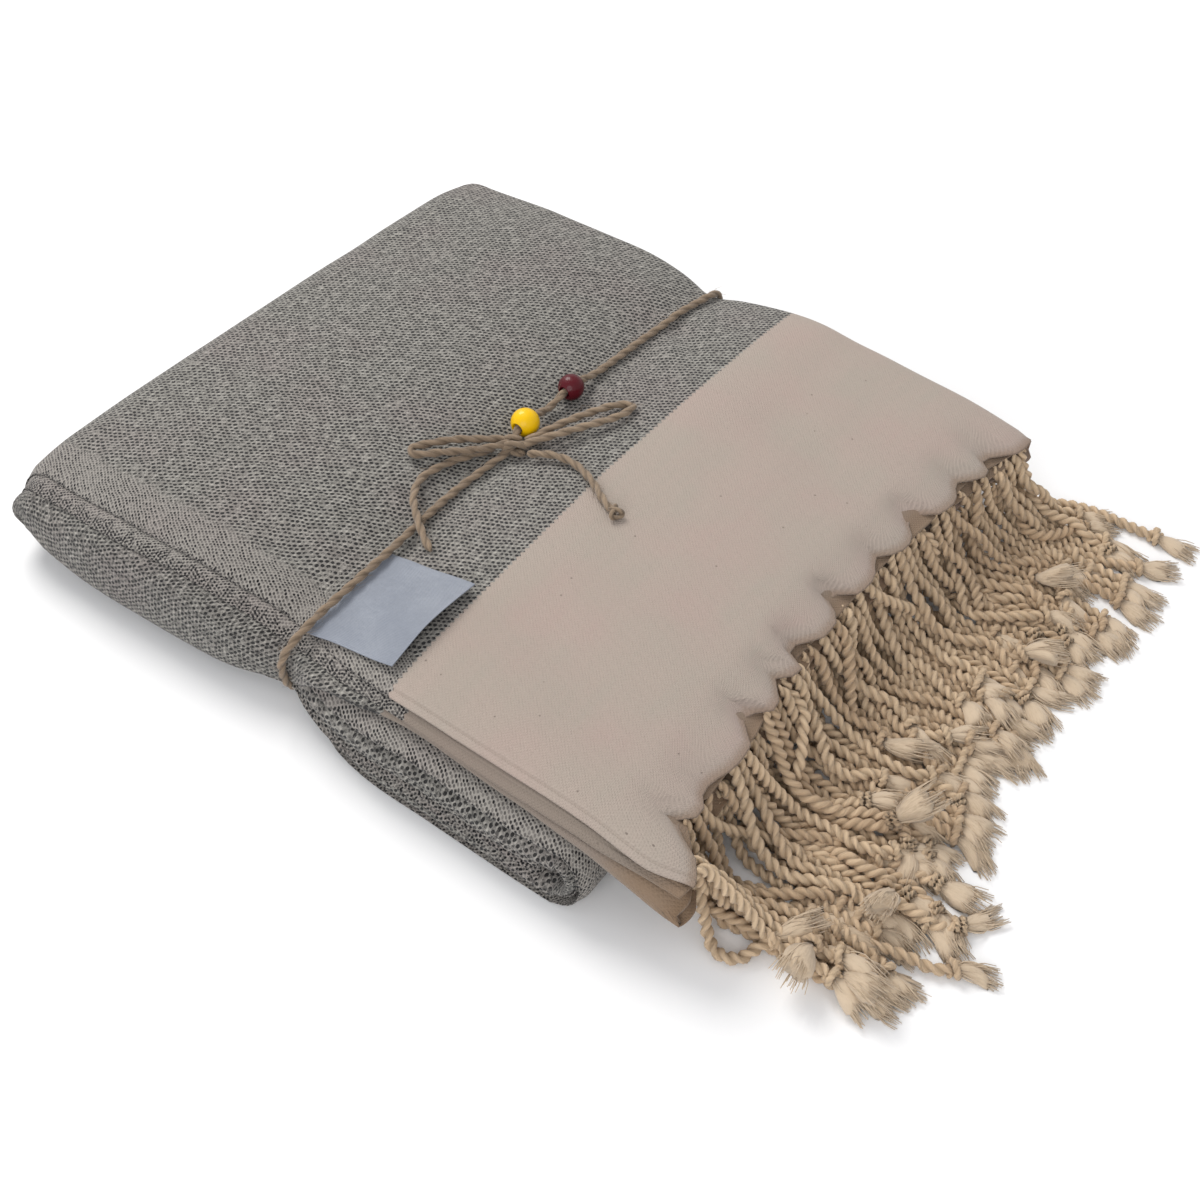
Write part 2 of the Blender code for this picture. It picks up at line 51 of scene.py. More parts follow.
bundle = {
    "fill": 0.86,           # share of a layer's pitch that is cloth
    "layers": 4,
    "levels": 4,
    "halfWidth": 0.125,
    "shoulder": 0.100,      # where the top starts to fall away
    "crown": 0.0012,
    "rounding": 0.006,      # half the width over which it bends
    "slope": 0.17,
    "nearFade": (0.8, 0.085, 0.045),   # share by which the slope lessens, from this x, over this length
    "farFade": (0.7, 0.020, 0.040),
    "leftTurn": -0.1105,    # middle of the turns at the folded end
    "rightTurn": 0.1120,    # middle of the turn under the fringed end
    "squash": 0.90,
    "clothEnd": 0.1435,
    "drawnFrom": 0.118,     # from here on the end is drawn back between the groups of strands
    "endLean": 0.0055,
    "waist": 0.005,         # where the twine crosses
    "endDroop": 0.0018,
    "underDroop": 0.0040,
    "hangWidth": 0.0075,    # near edges of the lower levels hang down over each other
    "hangDepth": 0.0030,
    "creaseHeight": 0.036,  # creases have their full depth from here up
    "pouch": 0.0030,        # how much further the inner fold hangs at the near corner
}
allLayers = bundle["layers"] * bundle["levels"]
underAir = (1 - bundle["fill"]) / 2


def ease(value):
    value = np.clip(value, 0.0, 1.0)
    return value * value * (3 - 2 * value)


# A smooth line through rows of (place, value).
def smoothTable(*rows):
    xs, ys = np.array(rows, float).T
    steps = np.diff(ys) / np.diff(xs)
    slopes = np.gradient(ys, xs)
    for i in range(1, len(xs) - 1):
        if steps[i - 1] * steps[i] <= 0:
            slopes[i] = 0.0
    slopes[0] = slopes[-1] = 0.0

    def at(x):
        x = np.clip(np.asarray(x, float), xs[0], xs[-1])
        i = np.clip(np.searchsorted(xs, x, side="right") - 1, 0, len(xs) - 2)
        h = xs[i + 1] - xs[i]
        t = (x - xs[i]) / h
        return ((2 * t**3 - 3 * t**2 + 1) * ys[i] + (t**3 - 2 * t**2 + t) * h * slopes[i]
                + (-2 * t**3 + 3 * t**2) * ys[i + 1] + (t**3 - t**2) * h * slopes[i + 1])

    return at


# Smooth repeatable noise of two numbers, from -1 to 1, one bump per unit.
def softNoise(seed, size=64):
    grid = np.random.RandomState(seed).uniform(-1, 1, (size, size))

    def at(x, y):
        x, y = np.broadcast_arrays(np.asarray(x, float) + 500.0, np.asarray(y, float) + 500.0)
        i, j = np.floor(x).astype(int), np.floor(y).astype(int)
        a, b = x - i, y - j
        a, b = a * a * (3 - 2 * a), b * b * (3 - 2 * b)
        p, q, r, s = (grid[(i + di) % size, (j + dj) % size] for di, dj in ((0, 0), (1, 0), (0, 1), (1, 1)))
        return (p * (1 - a) + q * a) * (1 - b) + (r * (1 - a) + s * a) * b

    return at


# A mesh object in the frame, with a sheet UV map and named numbers for each point.
def meshPiece(name, verts, faces, material, uvs, values=None):
    data = bpy.data.meshes.new(name)
    verts = np.asarray(verts, float) + shift
    verts[:, 2] = np.maximum(verts[:, 2], 0.0)
    data.from_pydata(verts.tolist(), [], faces)
    corners = np.empty(len(data.loops), np.int32)
    data.loops.foreach_get("vertex_index", corners)
    layer = data.uv_layers.new(name="sheet")
    layer.data.foreach_set("uv", np.asarray(uvs, np.float32)[corners].ravel())
    for key, numbers in (values or {}).items():
        column = data.attributes.new(key, "FLOAT", "POINT")
        column.data.foreach_set("value", np.asarray(numbers, np.float32))
    data.shade_smooth()
    data.validate()
    piece = bpy.data.objects.new(name, data)
    bpy.context.scene.collection.objects.link(piece)
    piece.data.materials.append(material)
    return piece


# Quads over rows of points. Closed joins each row round, looped joins the last row to the first.
def gridFaces(rows, columns, closed=False, looped=False, start=0):
    r = np.arange(rows if looped else rows - 1)[:, None] * columns
    nextRow = (r + columns) % (rows * columns)
    c = np.arange(columns if closed else columns - 1)[None, :]
    d = (c + 1) % columns
    return start + np.stack([r + c, r + d, nextRow + d, nextRow + c], -1).reshape(-1, 4)


# The camera stands at the photo's place.
view = {
    "place": (0.28366, -0.34228, 0.41786),
    "yaw": 2.185763,
    "pitch": 0.814543,
    "roll": 0.044531,
    "lens": 49.5387,
    "sensor": 36.0,
}


def makeCamera():
    yaw, pitch, roll = view["yaw"], view["pitch"], view["roll"]
    ahead = Vector((math.cos(yaw) * math.cos(pitch), math.sin(yaw) * math.cos(pitch), -math.sin(pitch)))
    right = Vector((math.sin(yaw), -math.cos(yaw), 0.0))
    up = right.cross(ahead)
    across = math.cos(roll) * right + math.sin(roll) * up
    above = -math.sin(roll) * right + math.cos(roll) * up
    data = bpy.data.cameras.new("camera")
    data.lens = view["lens"]
    data.sensor_width = view["sensor"]
    data.clip_start = 0.01
    camera = bpy.data.objects.new("camera", data)
    bpy.context.scene.collection.objects.link(camera)
    turn = Matrix((across, above, -ahead)).transposed()
    camera.matrix_world = Matrix.Translation(Vector(view["place"]) + Vector(shift)) @ turn.to_4x4()
    bpy.context.scene.camera = camera


makeCamera()
print("camera placed")


# A number, colour or place inside a shader tree, so that formulas can be written out.
class Value:
    def __init__(self, tree, socket):
        self.tree, self.socket = tree, socket

    def __add__(self, other):
        return calc("ADD", self, other)

    def __sub__(self, other):
        return calc("SUBTRACT", self, other)

    def __rsub__(self, other):
        return calc("SUBTRACT", other, self)

    def __mul__(self, other):
        return calc("MULTIPLY", self, other)

    def __truediv__(self, other):
        return calc("DIVIDE", self, other)

    def __abs__(self):
        return calc("ABSOLUTE", self)


def newTree(name):
    material = bpy.data.materials.new(name)
    material.use_nodes = True
    tree = material.node_tree
    return material, tree, tree.nodes["Principled BSDF"]


def plug(socket, value):
    if isinstance(value, Value):
        value.tree.links.new(value.socket, socket)
    elif isinstance(value, tuple):   # a colour
        socket.default_value = (*value, 1.0)
    elif value is not None:
        socket.default_value = value


def setShader(shader, colour, surface):
    plug(shader.inputs["Base Color"], colour)
    for name, number in surface.items():
        plug(shader.inputs[name], number)


def calc(operation, *values, clamp=False):
    tree = next(value.tree for value in values if isinstance(value, Value))
    node = tree.nodes.new("ShaderNodeMath")
    node.operation = operation
    node.use_clamp = clamp
    for socket, value in zip(node.inputs, values):
        plug(socket, value)
    return Value(tree, node.outputs[0])


# A soft step: from toLow where the value is low to toHigh where it is high.
def rangeOf(value, low, high, toLow=0.0, toHigh=1.0):
    node = value.tree.nodes.new("ShaderNodeMapRange")
    node.interpolation_type = "SMOOTHSTEP"
    plug(node.inputs["Value"], value)
    plug(node.inputs["From Min"], low)
    plug(node.inputs["From Max"], high)
    plug(node.inputs["To Min"], toLow)
    plug(node.inputs["To Max"], toHigh)
    return Value(value.tree, node.outputs[0])


mixSockets = {"FLOAT": (2, 3, 0), "RGBA": (6, 7, 2)}   # first, second and result of a mix node


def blend(share, first, second, kind="RGBA"):
    node = share.tree.nodes.new("ShaderNodeMix")
    node.data_type = kind
    firstSocket, secondSocket, result = mixSockets[kind]
    plug(node.inputs[0], share)
    plug(node.inputs[firstSocket], first)
    plug(node.inputs[secondSocket], second)
    return Value(share.tree, node.outputs[result])


def noiseAt(tree, place, scale, detail=2.0, rough=0.5):
    node = tree.nodes.new("ShaderNodeTexNoise")
    plug(node.inputs["Vector"], place)
    plug(node.inputs["Scale"], scale)
    plug(node.inputs["Detail"], detail)
    plug(node.inputs["Roughness"], rough)
    return Value(tree, node.outputs["Fac"])


def joined(x, y, z=0.0):
    node = x.tree.nodes.new("ShaderNodeCombineXYZ")
    for socket, value in zip(node.inputs, (x, y, z)):
        plug(socket, value)
    return Value(x.tree, node.outputs[0])


def parted(vector):
    node = vector.tree.nodes.new("ShaderNodeSeparateXYZ")
    plug(node.inputs[0], vector)
    return [Value(vector.tree, socket) for socket in node.outputs]


def valueOf(tree, name):
    node = tree.nodes.new("ShaderNodeAttribute")
    node.attribute_name = name
    return Value(tree, node.outputs["Fac"])


def sheetUv(tree):
    node = tree.nodes.new("ShaderNodeUVMap")
    node.uv_map = "sheet"
    return parted(Value(tree, node.outputs[0]))[:2]


# Place on the flat cloth in millimetres: along its length, and across it.
def sheetPlace(tree):
    u, v = sheetUv(tree)
    return u * 1000.0, v * 1000.0


def bumpOn(shader, height, distance, strength=1.0):
    node = height.tree.nodes.new("ShaderNodeBump")
    plug(node.inputs["Distance"], distance)
    plug(node.inputs["Strength"], strength)
    plug(node.inputs["Height"], height)
    plug(shader.inputs["Normal"], Value(height.tree, node.outputs[0]))


# A shader node group whose inputs, with their usual values, and outputs are plain numbers.
def makeGroup(name, inputs, outputs):
    tree = bpy.data.node_groups.new(name, "ShaderNodeTree")
    for title, value in inputs.items():
        socket = tree.interface.new_socket(title, in_out="INPUT", socket_type="NodeSocketFloat")
        socket.default_value = value
    for title in outputs:
        tree.interface.new_socket(title, in_out="OUTPUT", socket_type="NodeSocketFloat")
    entry = tree.nodes.new("NodeGroupInput")
    leaving = tree.nodes.new("NodeGroupOutput")
    return tree, {socket.name: Value(tree, socket) for socket in entry.outputs}, leaving.inputs


def useGroup(tree, group, **values):
    node = tree.nodes.new("ShaderNodeGroup")
    node.node_tree = group
    for name, value in values.items():
        plug(node.inputs[name], value)
    return {socket.name: Value(tree, socket) for socket in node.outputs}


# Dark flecks of a bird's-eye weave: one in each cell, every other column half a cell on.
def weaveFleckGroup():
    usual = {"Along": 0.0, "Across": 0.0, "Column": 1.8, "Row": 2.4, "Width": 0.34, "Height": 0.26,
             "Slant": 0.6, "Softness": 0.45}
    tree, given, out = makeGroup("weave flecks", usual, ("Fleck", "Chance", "Ridge"))
    across = given["Along"] / given["Column"]
    column = calc("FLOOR", across)
    half = calc("FLOORED_MODULO", column, 2.0) * 0.5
    down = given["Across"] / given["Row"]
    lowered = down + half
    row = calc("FLOOR", lowered)
    cell = tree.nodes.new("ShaderNodeTexWhiteNoise")
    cell.noise_dimensions = "2D"
    plug(cell.inputs["Vector"], joined(column, row))
    chance = Value(tree, cell.outputs["Value"])
    jitter = (chance - 0.5) * 0.20
    a = across - column - 0.5
    b = lowered - row - 0.5 - a * given["Slant"] + jitter
    wide = calc("POWER", (a + jitter) / given["Width"], 2.0)
    high = calc("POWER", b / given["Height"], 2.0)
    plug(out["Fleck"], rangeOf(wide + high, 1.0 - given["Softness"], given["Softness"] + 1.0, 1.0, 0.0))
    plug(out["Chance"], chance)
    # diagonal lines of light yarn between the rows of flecks
    wave = calc("COSINE", (down - across * 0.5 + 0.25) * (2 * math.pi))
    plug(out["Ridge"], calc("MULTIPLY_ADD", wave, 0.5, 0.5))
    return tree


# Plain yarns over and under each other, as a height and a small change of tone.
def yarnGroup():
    tree, given, out = makeGroup("yarns", {"Along": 0.0, "Across": 0.0, "Pitch": 0.8}, ("Height", "Tone"))
    waves = [calc("SINE", given[name] / given["Pitch"] * math.pi) for name in ("Along", "Across")]
    highest = calc("MAXIMUM", abs(waves[0]), abs(waves[1]))
    plug(out["Height"], calc("MULTIPLY_ADD", waves[0] * waves[1], 0.5, highest))
    plug(out["Tone"], noiseAt(tree, joined(given["Along"] * 2.2, given["Across"]), 1.0, 3.0, 0.6))
    return tree


weaveFlecks = weaveFleckGroup()
yarns = yarnGroup()

clothLooks = {
    "ecru": (0.244, 0.230, 0.204),
    "ecruLight": (0.450, 0.428, 0.383),
    "ecruDusty": (0.30, 0.215, 0.215),
    "bandGround": (0.330, 0.305, 0.275),
    "shade": (0.120, 0.116, 0.108),
    "fleck": (0.006, 0.006, 0.007),
    "cream": (0.408, 0.334, 0.286),
    "creamGreen": (0.386, 0.330, 0.280),
    "creamPink": (0.412, 0.322, 0.280),
    "creamShade": (0.27, 0.225, 0.19),
    "creamSpeck": (0.10, 0.08, 0.065),
    "creamHem": (0.24, 0.19, 0.15),
    "creamInnerShade": (0.185, 0.150, 0.120),
    "creamEndShadeAndThreads": (0.185, 0.115, 0.068),
    "creamRecessShade": (0.225, 0.145, 0.085),
    "bandEnd": 102.2,      # mm from the fringe, where the cream band stops
    "tooth": 2.35,         # mm, one tooth of the line that closes it
    "selvedgeBand": 14.0,
    "clothWidth": 950.0,
    "bodyWeave": {"Column": 1.50, "Row": 1.90, "Width": 0.40, "Height": 0.27, "Slant": -0.1, "Softness": 0.6},
    "bandWeave": {"Column": 0.98, "Row": 1.30, "Width": 0.44, "Height": 0.30, "Slant": 0.2, "Softness": 0.6},
    "rimWeave": {"Column": 1.35, "Row": 1.15, "Width": 0.36, "Height": 0.34, "Slant": 0.2, "Softness": 0.7},
    "yarnPitch": 0.62,
    "relief": 0.00025,
    "surface": {"Roughness": 0.94, "Specular IOR Level": 0.25, "Sheen Weight": 0.15, "Sheen Roughness": 0.5},
}


def clothMaterial():
    looks = clothLooks
    material, tree, shader = newTree("woven cotton")
    along, across = sheetPlace(tree)
    place = joined(along, across)
    fromEdge = calc("MINIMUM", across, looks["clothWidth"] - across)
    fromFold = abs(across - looks["clothWidth"] / 2)

    # thick and thin weft yarns make streaks across the cloth
    streaks = noiseAt(tree, joined(along * 0.62, across * 0.20), 1.0, 3.0, 0.6)
    broad = noiseAt(tree, joined(along * 0.24, across * 0.030), 1.0)
    streak = streaks * 0.5 + broad * 0.5
    patches = noiseAt(tree, place, 0.028)
    grain = noiseAt(tree, place, 1.1, 3.0, 0.7)
    clumps = noiseAt(tree, place, 0.42, 3.0, 0.7)

    # the yarns wander a little, so no row is quite straight
    swayed = across + (noiseAt(tree, place, 0.09) - 0.5) * 3.2
    body = useGroup(tree, weaveFlecks, Along=along, Across=swayed, **looks["bodyWeave"])
    # yarns of uneven thickness break the flecks up, most of all round the middle fold
    byFold = rangeOf(fromFold, 26.0, 38.0, 1.0, 0.0)
    wanted = (streak - 0.50) * (1.0 - byFold * 0.75)
    power = rangeOf(wanted, -0.10, 0.12, 0.70, 1.25) + body["Chance"] * 0.7
    power = power * rangeOf(clumps, 0.36, 0.60, 0.35, 1.5)
    bodyDark = calc("MULTIPLY", body["Fleck"], power, clamp=True)
    coarse = rangeOf(noiseAt(tree, place, 0.62, 3.0, 0.75), 0.50, 0.60, 0.0, 0.7) * byFold
    # dark dashes along the middle fold of the top level: partly painted shadow of the fold, partly dots at
    # its rim
    line = rangeOf(fromFold, 0.8, 2.8, 1.0, 0.0)
    foldShadowDashes = rangeOf(noiseAt(tree, joined(along * 0.5, 2.0), 1.0), 0.38, 0.50)
    foldShadowDashes = foldShadowDashes * rangeOf(along, 250.0, 262.0, 1.0, 0.0)
    bodyDark = calc("MAXIMUM", bodyDark, calc("MAXIMUM", coarse, line * foldShadowDashes))
    band = useGroup(tree, weaveFlecks, Along=along, Across=swayed, **looks["bandWeave"])
    bandDark = band["Fleck"] * calc("MULTIPLY_ADD", band["Chance"], 0.70, 0.42)

    # the band along the selvedge ends unevenly, and a dotted line closes it
    ragged = (noiseAt(tree, joined(along * 0.22, 4.0), 1.0, 3.0) - 0.5) * 7.0
    inner, outer = looks["selvedgeBand"] - 1.5, looks["selvedgeBand"] + 2.5
    inBand = rangeOf(fromEdge + ragged, inner, outer, 1.0, 0.0)
    rim = useGroup(tree, weaveFlecks, Along=along, Across=fromEdge, **looks["rimWeave"])
    rimWidth = calc("MULTIPLY_ADD", noiseAt(tree, joined(along * 0.33, 9.0), 1.0, 3.0), 6.0, -2.1)
    wider = calc("MAXIMUM", calc("MULTIPLY_ADD", rimWidth, 1.4, 1.6), 0.6)
    rimWidth = rimWidth + rangeOf(across, 400.0, 500.0) * wider
    inRim = rangeOf(fromEdge - rimWidth, -0.5, 0.3, 1.0, 0.0)
    rimDark = rim["Fleck"] * rangeOf(clumps, 0.30, 0.52, 0.35, 1.1) * inRim
    dark = calc("MAXIMUM", blend(inBand, bodyDark, bandDark, "FLOAT"), rimDark)

    ground = blend(rangeOf(streaks, 0.32, 0.66), looks["ecruLight"], looks["ecru"])
    ground = blend(body["Ridge"] * (1.0 - inBand) * 0.45, ground, looks["shade"])
    ground = blend(inBand * 0.9, ground, looks["bandGround"])
    ground = blend(rangeOf(patches, 0.40, 0.75, 0.0, 0.22), ground, looks["ecruDusty"])
    ground = blend(rangeOf(grain, 0.30, 0.72, 0.0, 0.28), ground, looks["shade"])
    ecru = blend(dark * 0.94, ground, looks["fleck"])

    # cream end band, with sparse dark specks in it
    cream = blend(rangeOf(patches, 0.38, 0.66), looks["creamGreen"], looks["creamPink"])
    cream = blend(rangeOf(broad, 0.3, 0.7, 0.0, 0.6), cream, looks["cream"])
    cream = blend(rangeOf(grain, 0.30, 0.75, 0.0, 0.22), cream, looks["creamShade"])
    specks = tree.nodes.new("ShaderNodeTexVoronoi")
    plug(specks.inputs["Scale"], 0.17)
    plug(specks.inputs["Vector"], place)
    seen = rangeOf(parted(Value(tree, specks.outputs["Color"]))[0], 0.55, 0.60)
    speck = rangeOf(Value(tree, specks.outputs["Distance"]), 0.04, 0.085, 1.0, 0.0) * seen
    cream = blend(speck * 0.6, cream, looks["creamSpeck"])
    hem = 1.0 - rangeOf(abs(fromEdge - 2.6), 0.15, 0.55)
    cream = blend(hem * 0.22, cream, looks["creamHem"])
    # painted shade on the layers of the cream end under the top one
    cream = blend(rangeOf(across, 300.0, 430.0, 0.0, 0.75), cream, looks["creamInnerShade"])
    # the last few mm of the end are darker brown: painted shade in the hollows under the arches between the
    # groups of strands, and darker threads along the cut edge
    cream = blend(rangeOf(along + grain * 4.0, 2.2, 6.5, 0.62, 0.0), cream, looks["creamEndShadeAndThreads"])
    # painted warm shade on the lower layers in the recesses between the groups of strands, near the fringed
    # end
    recessShade = rangeOf(across, 288.0, 312.0) * rangeOf(along + grain * 5.0, 11.0, 26.0, 0.72, 0.0)
    cream = blend(recessShade, cream, looks["creamRecessShade"])

    # saw-tooth line where the dark weft stops
    teeth = abs(calc("FRACT", across / looks["tooth"]) - 0.5) * 2.2
    inCream = rangeOf(along + teeth, looks["bandEnd"], looks["bandEnd"] + 0.5, 1.0, 0.0)
    setShader(shader, blend(inCream, ecru, cream), looks["surface"])

    fine = useGroup(tree, yarns, Along=along, Across=across, Pitch=looks["yarnPitch"])
    twill = calc("SINE", (along - across * 0.8) * 4.4)
    relief = fine["Height"] * 0.5 + fine["Tone"] * 0.5 + twill * 0.07
    relief = relief - dark * (1.0 - inCream) * 0.8 - hem * inCream * 0.8
    bumpOn(shader, relief, looks["relief"])
    return material


stackTop = smoothTable((-0.1105, 0.0352), (-0.0720, 0.0380), (-0.0300, 0.0376), (-0.0080, 0.0342),
                       (0.0020, 0.0318), (0.0080, 0.0318), (0.0180, 0.0343), (0.0380, 0.0376),
                       (0.0750, 0.0382), (0.1120, 0.0372), (0.1300, 0.0362), (0.1435, 0.0350))
stackLift = smoothTable((-0.0180, 0.0), (0.0020, 0.0033), (0.0080, 0.0033), (0.0280, 0.0))
# How far the stack's two long sides lie from its middle line.
nearWall = smoothTable((-0.1260, 0.1262), (-0.1050, 0.1278), (-0.0790, 0.1284), (-0.0550, 0.1273),
                       (-0.0330, 0.1260), (-0.0120, 0.1236), (0.0000, 0.1200), (0.0060, 0.1192),
                       (0.0130, 0.1225), (0.0230, 0.1262), (0.0320, 0.1280), (0.0650, 0.1286),
                       (0.0900, 0.1290), (0.1220, 0.1276), (0.1435, 0.1262))
farWall = smoothTable((-0.1260, 0.1185), (-0.0900, 0.1190), (-0.0500, 0.1202), (-0.0200, 0.1222),
                      (-0.0030, 0.1205), (0.0050, 0.1188), (0.0130, 0.1205), (0.0300, 0.1222),
                      (0.0700, 0.1210), (0.1100, 0.1195), (0.1435, 0.1187))

# Near edges of the top level: its two selvedges, and how far its inner fold hangs down the side.
topEdges = {
    "selvedge": smoothTable((-0.1120, 0.1153), (-0.0920, 0.1160), (-0.0675, 0.1154), (-0.0470, 0.1144),
                            (-0.0216, 0.1125), (0.0000, 0.1102), (0.0080, 0.1112), (0.0260, 0.1160),
                            (0.0485, 0.1180), (0.0900, 0.1177), (0.1200, 0.1182), (0.1320, 0.1190),
                            (0.1435, 0.1150)),
    "second": smoothTable((-0.1110, 0.1216), (-0.0760, 0.1228), (-0.0470, 0.1205), (-0.0260, 0.1192),
                          (-0.0100, 0.1174), (0.0050, 0.1168), (0.0260, 0.1200), (0.0485, 0.1212),
                          (0.1200, 0.1218), (0.1435, 0.1190)),
    "fold": smoothTable((-0.1105, 0.1375), (-0.1000, 0.1425), (-0.0850, 0.1475), (-0.0600, 0.1495),
                        (-0.0400, 0.1480), (-0.0150, 0.1430), (0.0050, 0.1330), (0.0180, 0.1270),
                        (0.0350, 0.1225), (0.0900, 0.1215), (0.1200, 0.1225), (0.1435, 0.1210)),
}
bendBefore = 0.0044       # the shoulder starts this far inside the near wall
# Edges of the levels under it, inside the near wall and the far wall.
lowEdges = {
    1: {"selvedge": 0.0022, "second": 0.0030, "fold": 0.0012, "far": 0.0006},
    2: {"selvedge": 0.0002, "second": 0.0008, "fold": 0.0020, "far": 0.0002},
    3: {"selvedge": 0.0002, "second": 0.0018, "fold": 0.0014, "far": 0.0008},
}
behindFlap = 0.1212       # near side of the lower levels where the top level hangs over them
# The folds along a level: how far each reaches out, how much its faces lie apart, its length of cloth,
# the layer it goes round, half the layers it joins, and its points.
folds = {
    "far": {"reach": 0.0046, "skin": 0.0008, "length": 0.0135, "layer": 2, "half": 1.5, "steps": 8},
    "near": {"reach": 0.0030, "skin": 0.0009, "length": 0.0094, "layer": 3, "half": 0.5, "steps": 8},
    "inner": {"reach": 0.0022, "skin": 0.0008, "length": 0.0040, "layer": 2, "half": 0.5, "steps": 6},
}

# Soft creases, drawn from the waist outwards: start, end, depth and half width.
creases = (
    {"from": (0.000, -0.098), "to": (-0.050, -0.085), "depth": 0.0011, "width": 0.0065},
    {"from": (-0.001, -0.060), "to": (-0.042, -0.050), "depth": 0.0006, "width": 0.0080},
    {"from": (-0.001, 0.075), "to": (-0.038, 0.088), "depth": 0.0008, "width": 0.0070},
    {"from": (0.010, 0.088), "to": (0.034, 0.070), "depth": 0.0014, "width": 0.0050},
    {"from": (0.010, 0.062), "to": (0.040, 0.052), "depth": 0.0009, "width": 0.0060},
    {"from": (0.012, -0.098), "to": (0.050, -0.104), "depth": 0.0009, "width": 0.0060},
    {"from": (0.060, -0.070), "to": (0.130, -0.095), "depth": 0.0007, "width": 0.0110},
    {"from": (0.075, 0.060), "to": (0.138, 0.040), "depth": 0.0008, "width": 0.0100},
    {"from": (-0.105, 0.050), "to": (-0.060, 0.070), "depth": 0.0006, "width": 0.0120},
)
swell = softNoise(3)
ripple = softNoise(11)


# Height that creases and soft swellings add to the cloth.
def creaseDepth(x, y):
    depth = 0.00055 * swell(x / 0.045, y / 0.060) + 0.00022 * ripple(x / 0.014, y / 0.024)
    for crease in creases:
        start, end = np.array(crease["from"]), np.array(crease["to"])
        line = end - start
        share = ((x - start[0]) * line[0] + (y - start[1]) * line[1]) / (line @ line)
        held = np.clip(share, 0, 1)
        away = np.hypot(x - start[0] - held * line[0], y - start[1] - held * line[1])
        depth = depth - crease["depth"] * np.exp(-((away / crease["width"]) ** 2)) * ease(1.15 - held)
    return depth


# The near shoulder slopes less towards the fringe, and the far one past the twine.
def slopeAt(x, y):
    fades = (bundle["nearFade"], bundle["farFade"])
    less = [share * ease((x - start) / length) for share, start, length in fades]
    return bundle["slope"] * (1 - np.where(np.asarray(y) < 0, *less))


def stackHeight(x, y):
    shoulder, rounding = bundle["shoulder"], bundle["rounding"]
    across = np.abs(y)
    bent = np.maximum(0.0, across - shoulder + rounding)
    drop = bundle["crown"] * np.minimum(1.0, across / shoulder) ** 1.5
    fall = np.where(across > shoulder + rounding, across - shoulder, bent**2 / (4 * rounding))
    return stackTop(x) - (drop + slopeAt(x, y) * fall)


def lean(x, y):
    along = ease((x - bundle["waist"]) / 0.035)
    return bundle["endLean"] * along * np.maximum(0.0, -y) / bundle["shoulder"]


def layerPitch(x, y):
    return (stackHeight(x, y) - stackLift(x)) / (allLayers - 2 * underAir)


def warped(x, y, z):
    raised = creaseDepth(x, y) * np.clip(z / bundle["creaseHeight"], 0.0, 1.1)
    return np.stack([x + lean(x, y), y, z + raised], -1)


# A point of one of the three levels under the top one, q layers down in it.
def placeLow(level, x, y, q):
    depth = {1: 12 - q, 2: 4 + q, 3: q}[level]
    x = np.full_like(y, x)
    z = stackLift(x) + (depth - underAir) * layerPitch(x, y)
    hang = np.maximum(0.0, -y - nearWall(x) + bundle["hangWidth"]) / bundle["hangWidth"]
    z = z - bundle["hangDepth"] * hang**2 * np.clip(z / 0.006, 0.0, 1.0)
    return warped(x, y, np.maximum(z, 0.0))


# One row for each layer of the fringed end: where groups of strands leave it, how far its edge is drawn
# back between two groups, and how its strands fall: how often a third joins a pair, how far apart they
# spread, and how much they curl, sway and rise.
endRows = (
    {"cusps": (-0.1100, -0.0930, -0.0690, -0.0486, -0.0310, -0.0080, 0.0136, 0.0366, 0.0640, 0.0870,
               0.1120),
     "arch": 0.0060, "out": 0.0000, "length": 0.0660, "rest": 0.0150, "varied": 0.010,
     "third": 0.50, "fan": 0.0235, "curl": 0.0085, "sway": 0.0055, "lift": 0.0045},
    {"cusps": (-0.1060, -0.0800, -0.0590, -0.0400, -0.0190, 0.0040, 0.0250, 0.0500, 0.0750, 0.1010),
     "arch": 0.0040, "out": -0.0012, "length": 0.0790, "rest": 0.0110, "varied": 0.010,
     "third": 0.40, "fan": 0.0235, "curl": 0.0070, "sway": 0.0045, "lift": 0.0030},
    {"cusps": (-0.1010, -0.0760, -0.0520, -0.0300, -0.0060, 0.0170, 0.0410, 0.0640, 0.0860, 0.1070),
     "arch": 0.0040, "out": -0.0010, "length": 0.0840, "rest": 0.0065, "varied": 0.008,
     "third": 0.20, "fan": 0.0310, "curl": 0.0045, "sway": 0.0036, "lift": 0.0010},
    {"cusps": (-0.1020, -0.0820, -0.0600, -0.0380, -0.0170, 0.0060, 0.0290, 0.0520, 0.0760, 0.0980),
     "arch": 0.0040, "out": 0.0010, "length": 0.0830, "rest": 0.0022, "varied": 0.007,
     "third": 0.15, "fan": 0.0310, "curl": 0.0045, "sway": 0.0036, "lift": 0.0010},
)
# The fringed end is drawn back towards the middle of the cloth.
endShape = smoothTable((-0.1220, 0.0080), (-0.1150, 0.0095), (-0.1060, 0.0045), (-0.0940, -0.0020),
                       (-0.0690, -0.0020), (-0.0486, -0.0036), (-0.0200, -0.0048), (0.0136, -0.0052),
                       (0.0366, -0.0045), (0.0640, -0.0027), (0.0870, -0.0008), (0.1127, 0.0030))


# 1 between two groups of strands, 0 where a group leaves the cloth.
def archShape(row, y):
    cusps = np.array(row["cusps"])
    i = np.clip(np.searchsorted(cusps, y) - 1, 0, len(cusps) - 2)
    share = np.clip((y - cusps[i]) / (cusps[i + 1] - cusps[i]), 0, 1)
    peak = 0.5 + 0.22 * np.sin(cusps[i] * 900 + 1)
    share = np.where(share < peak, share / peak, (1 - share) / (1 - peak))
    return ease((share - 0.25) / 0.70)


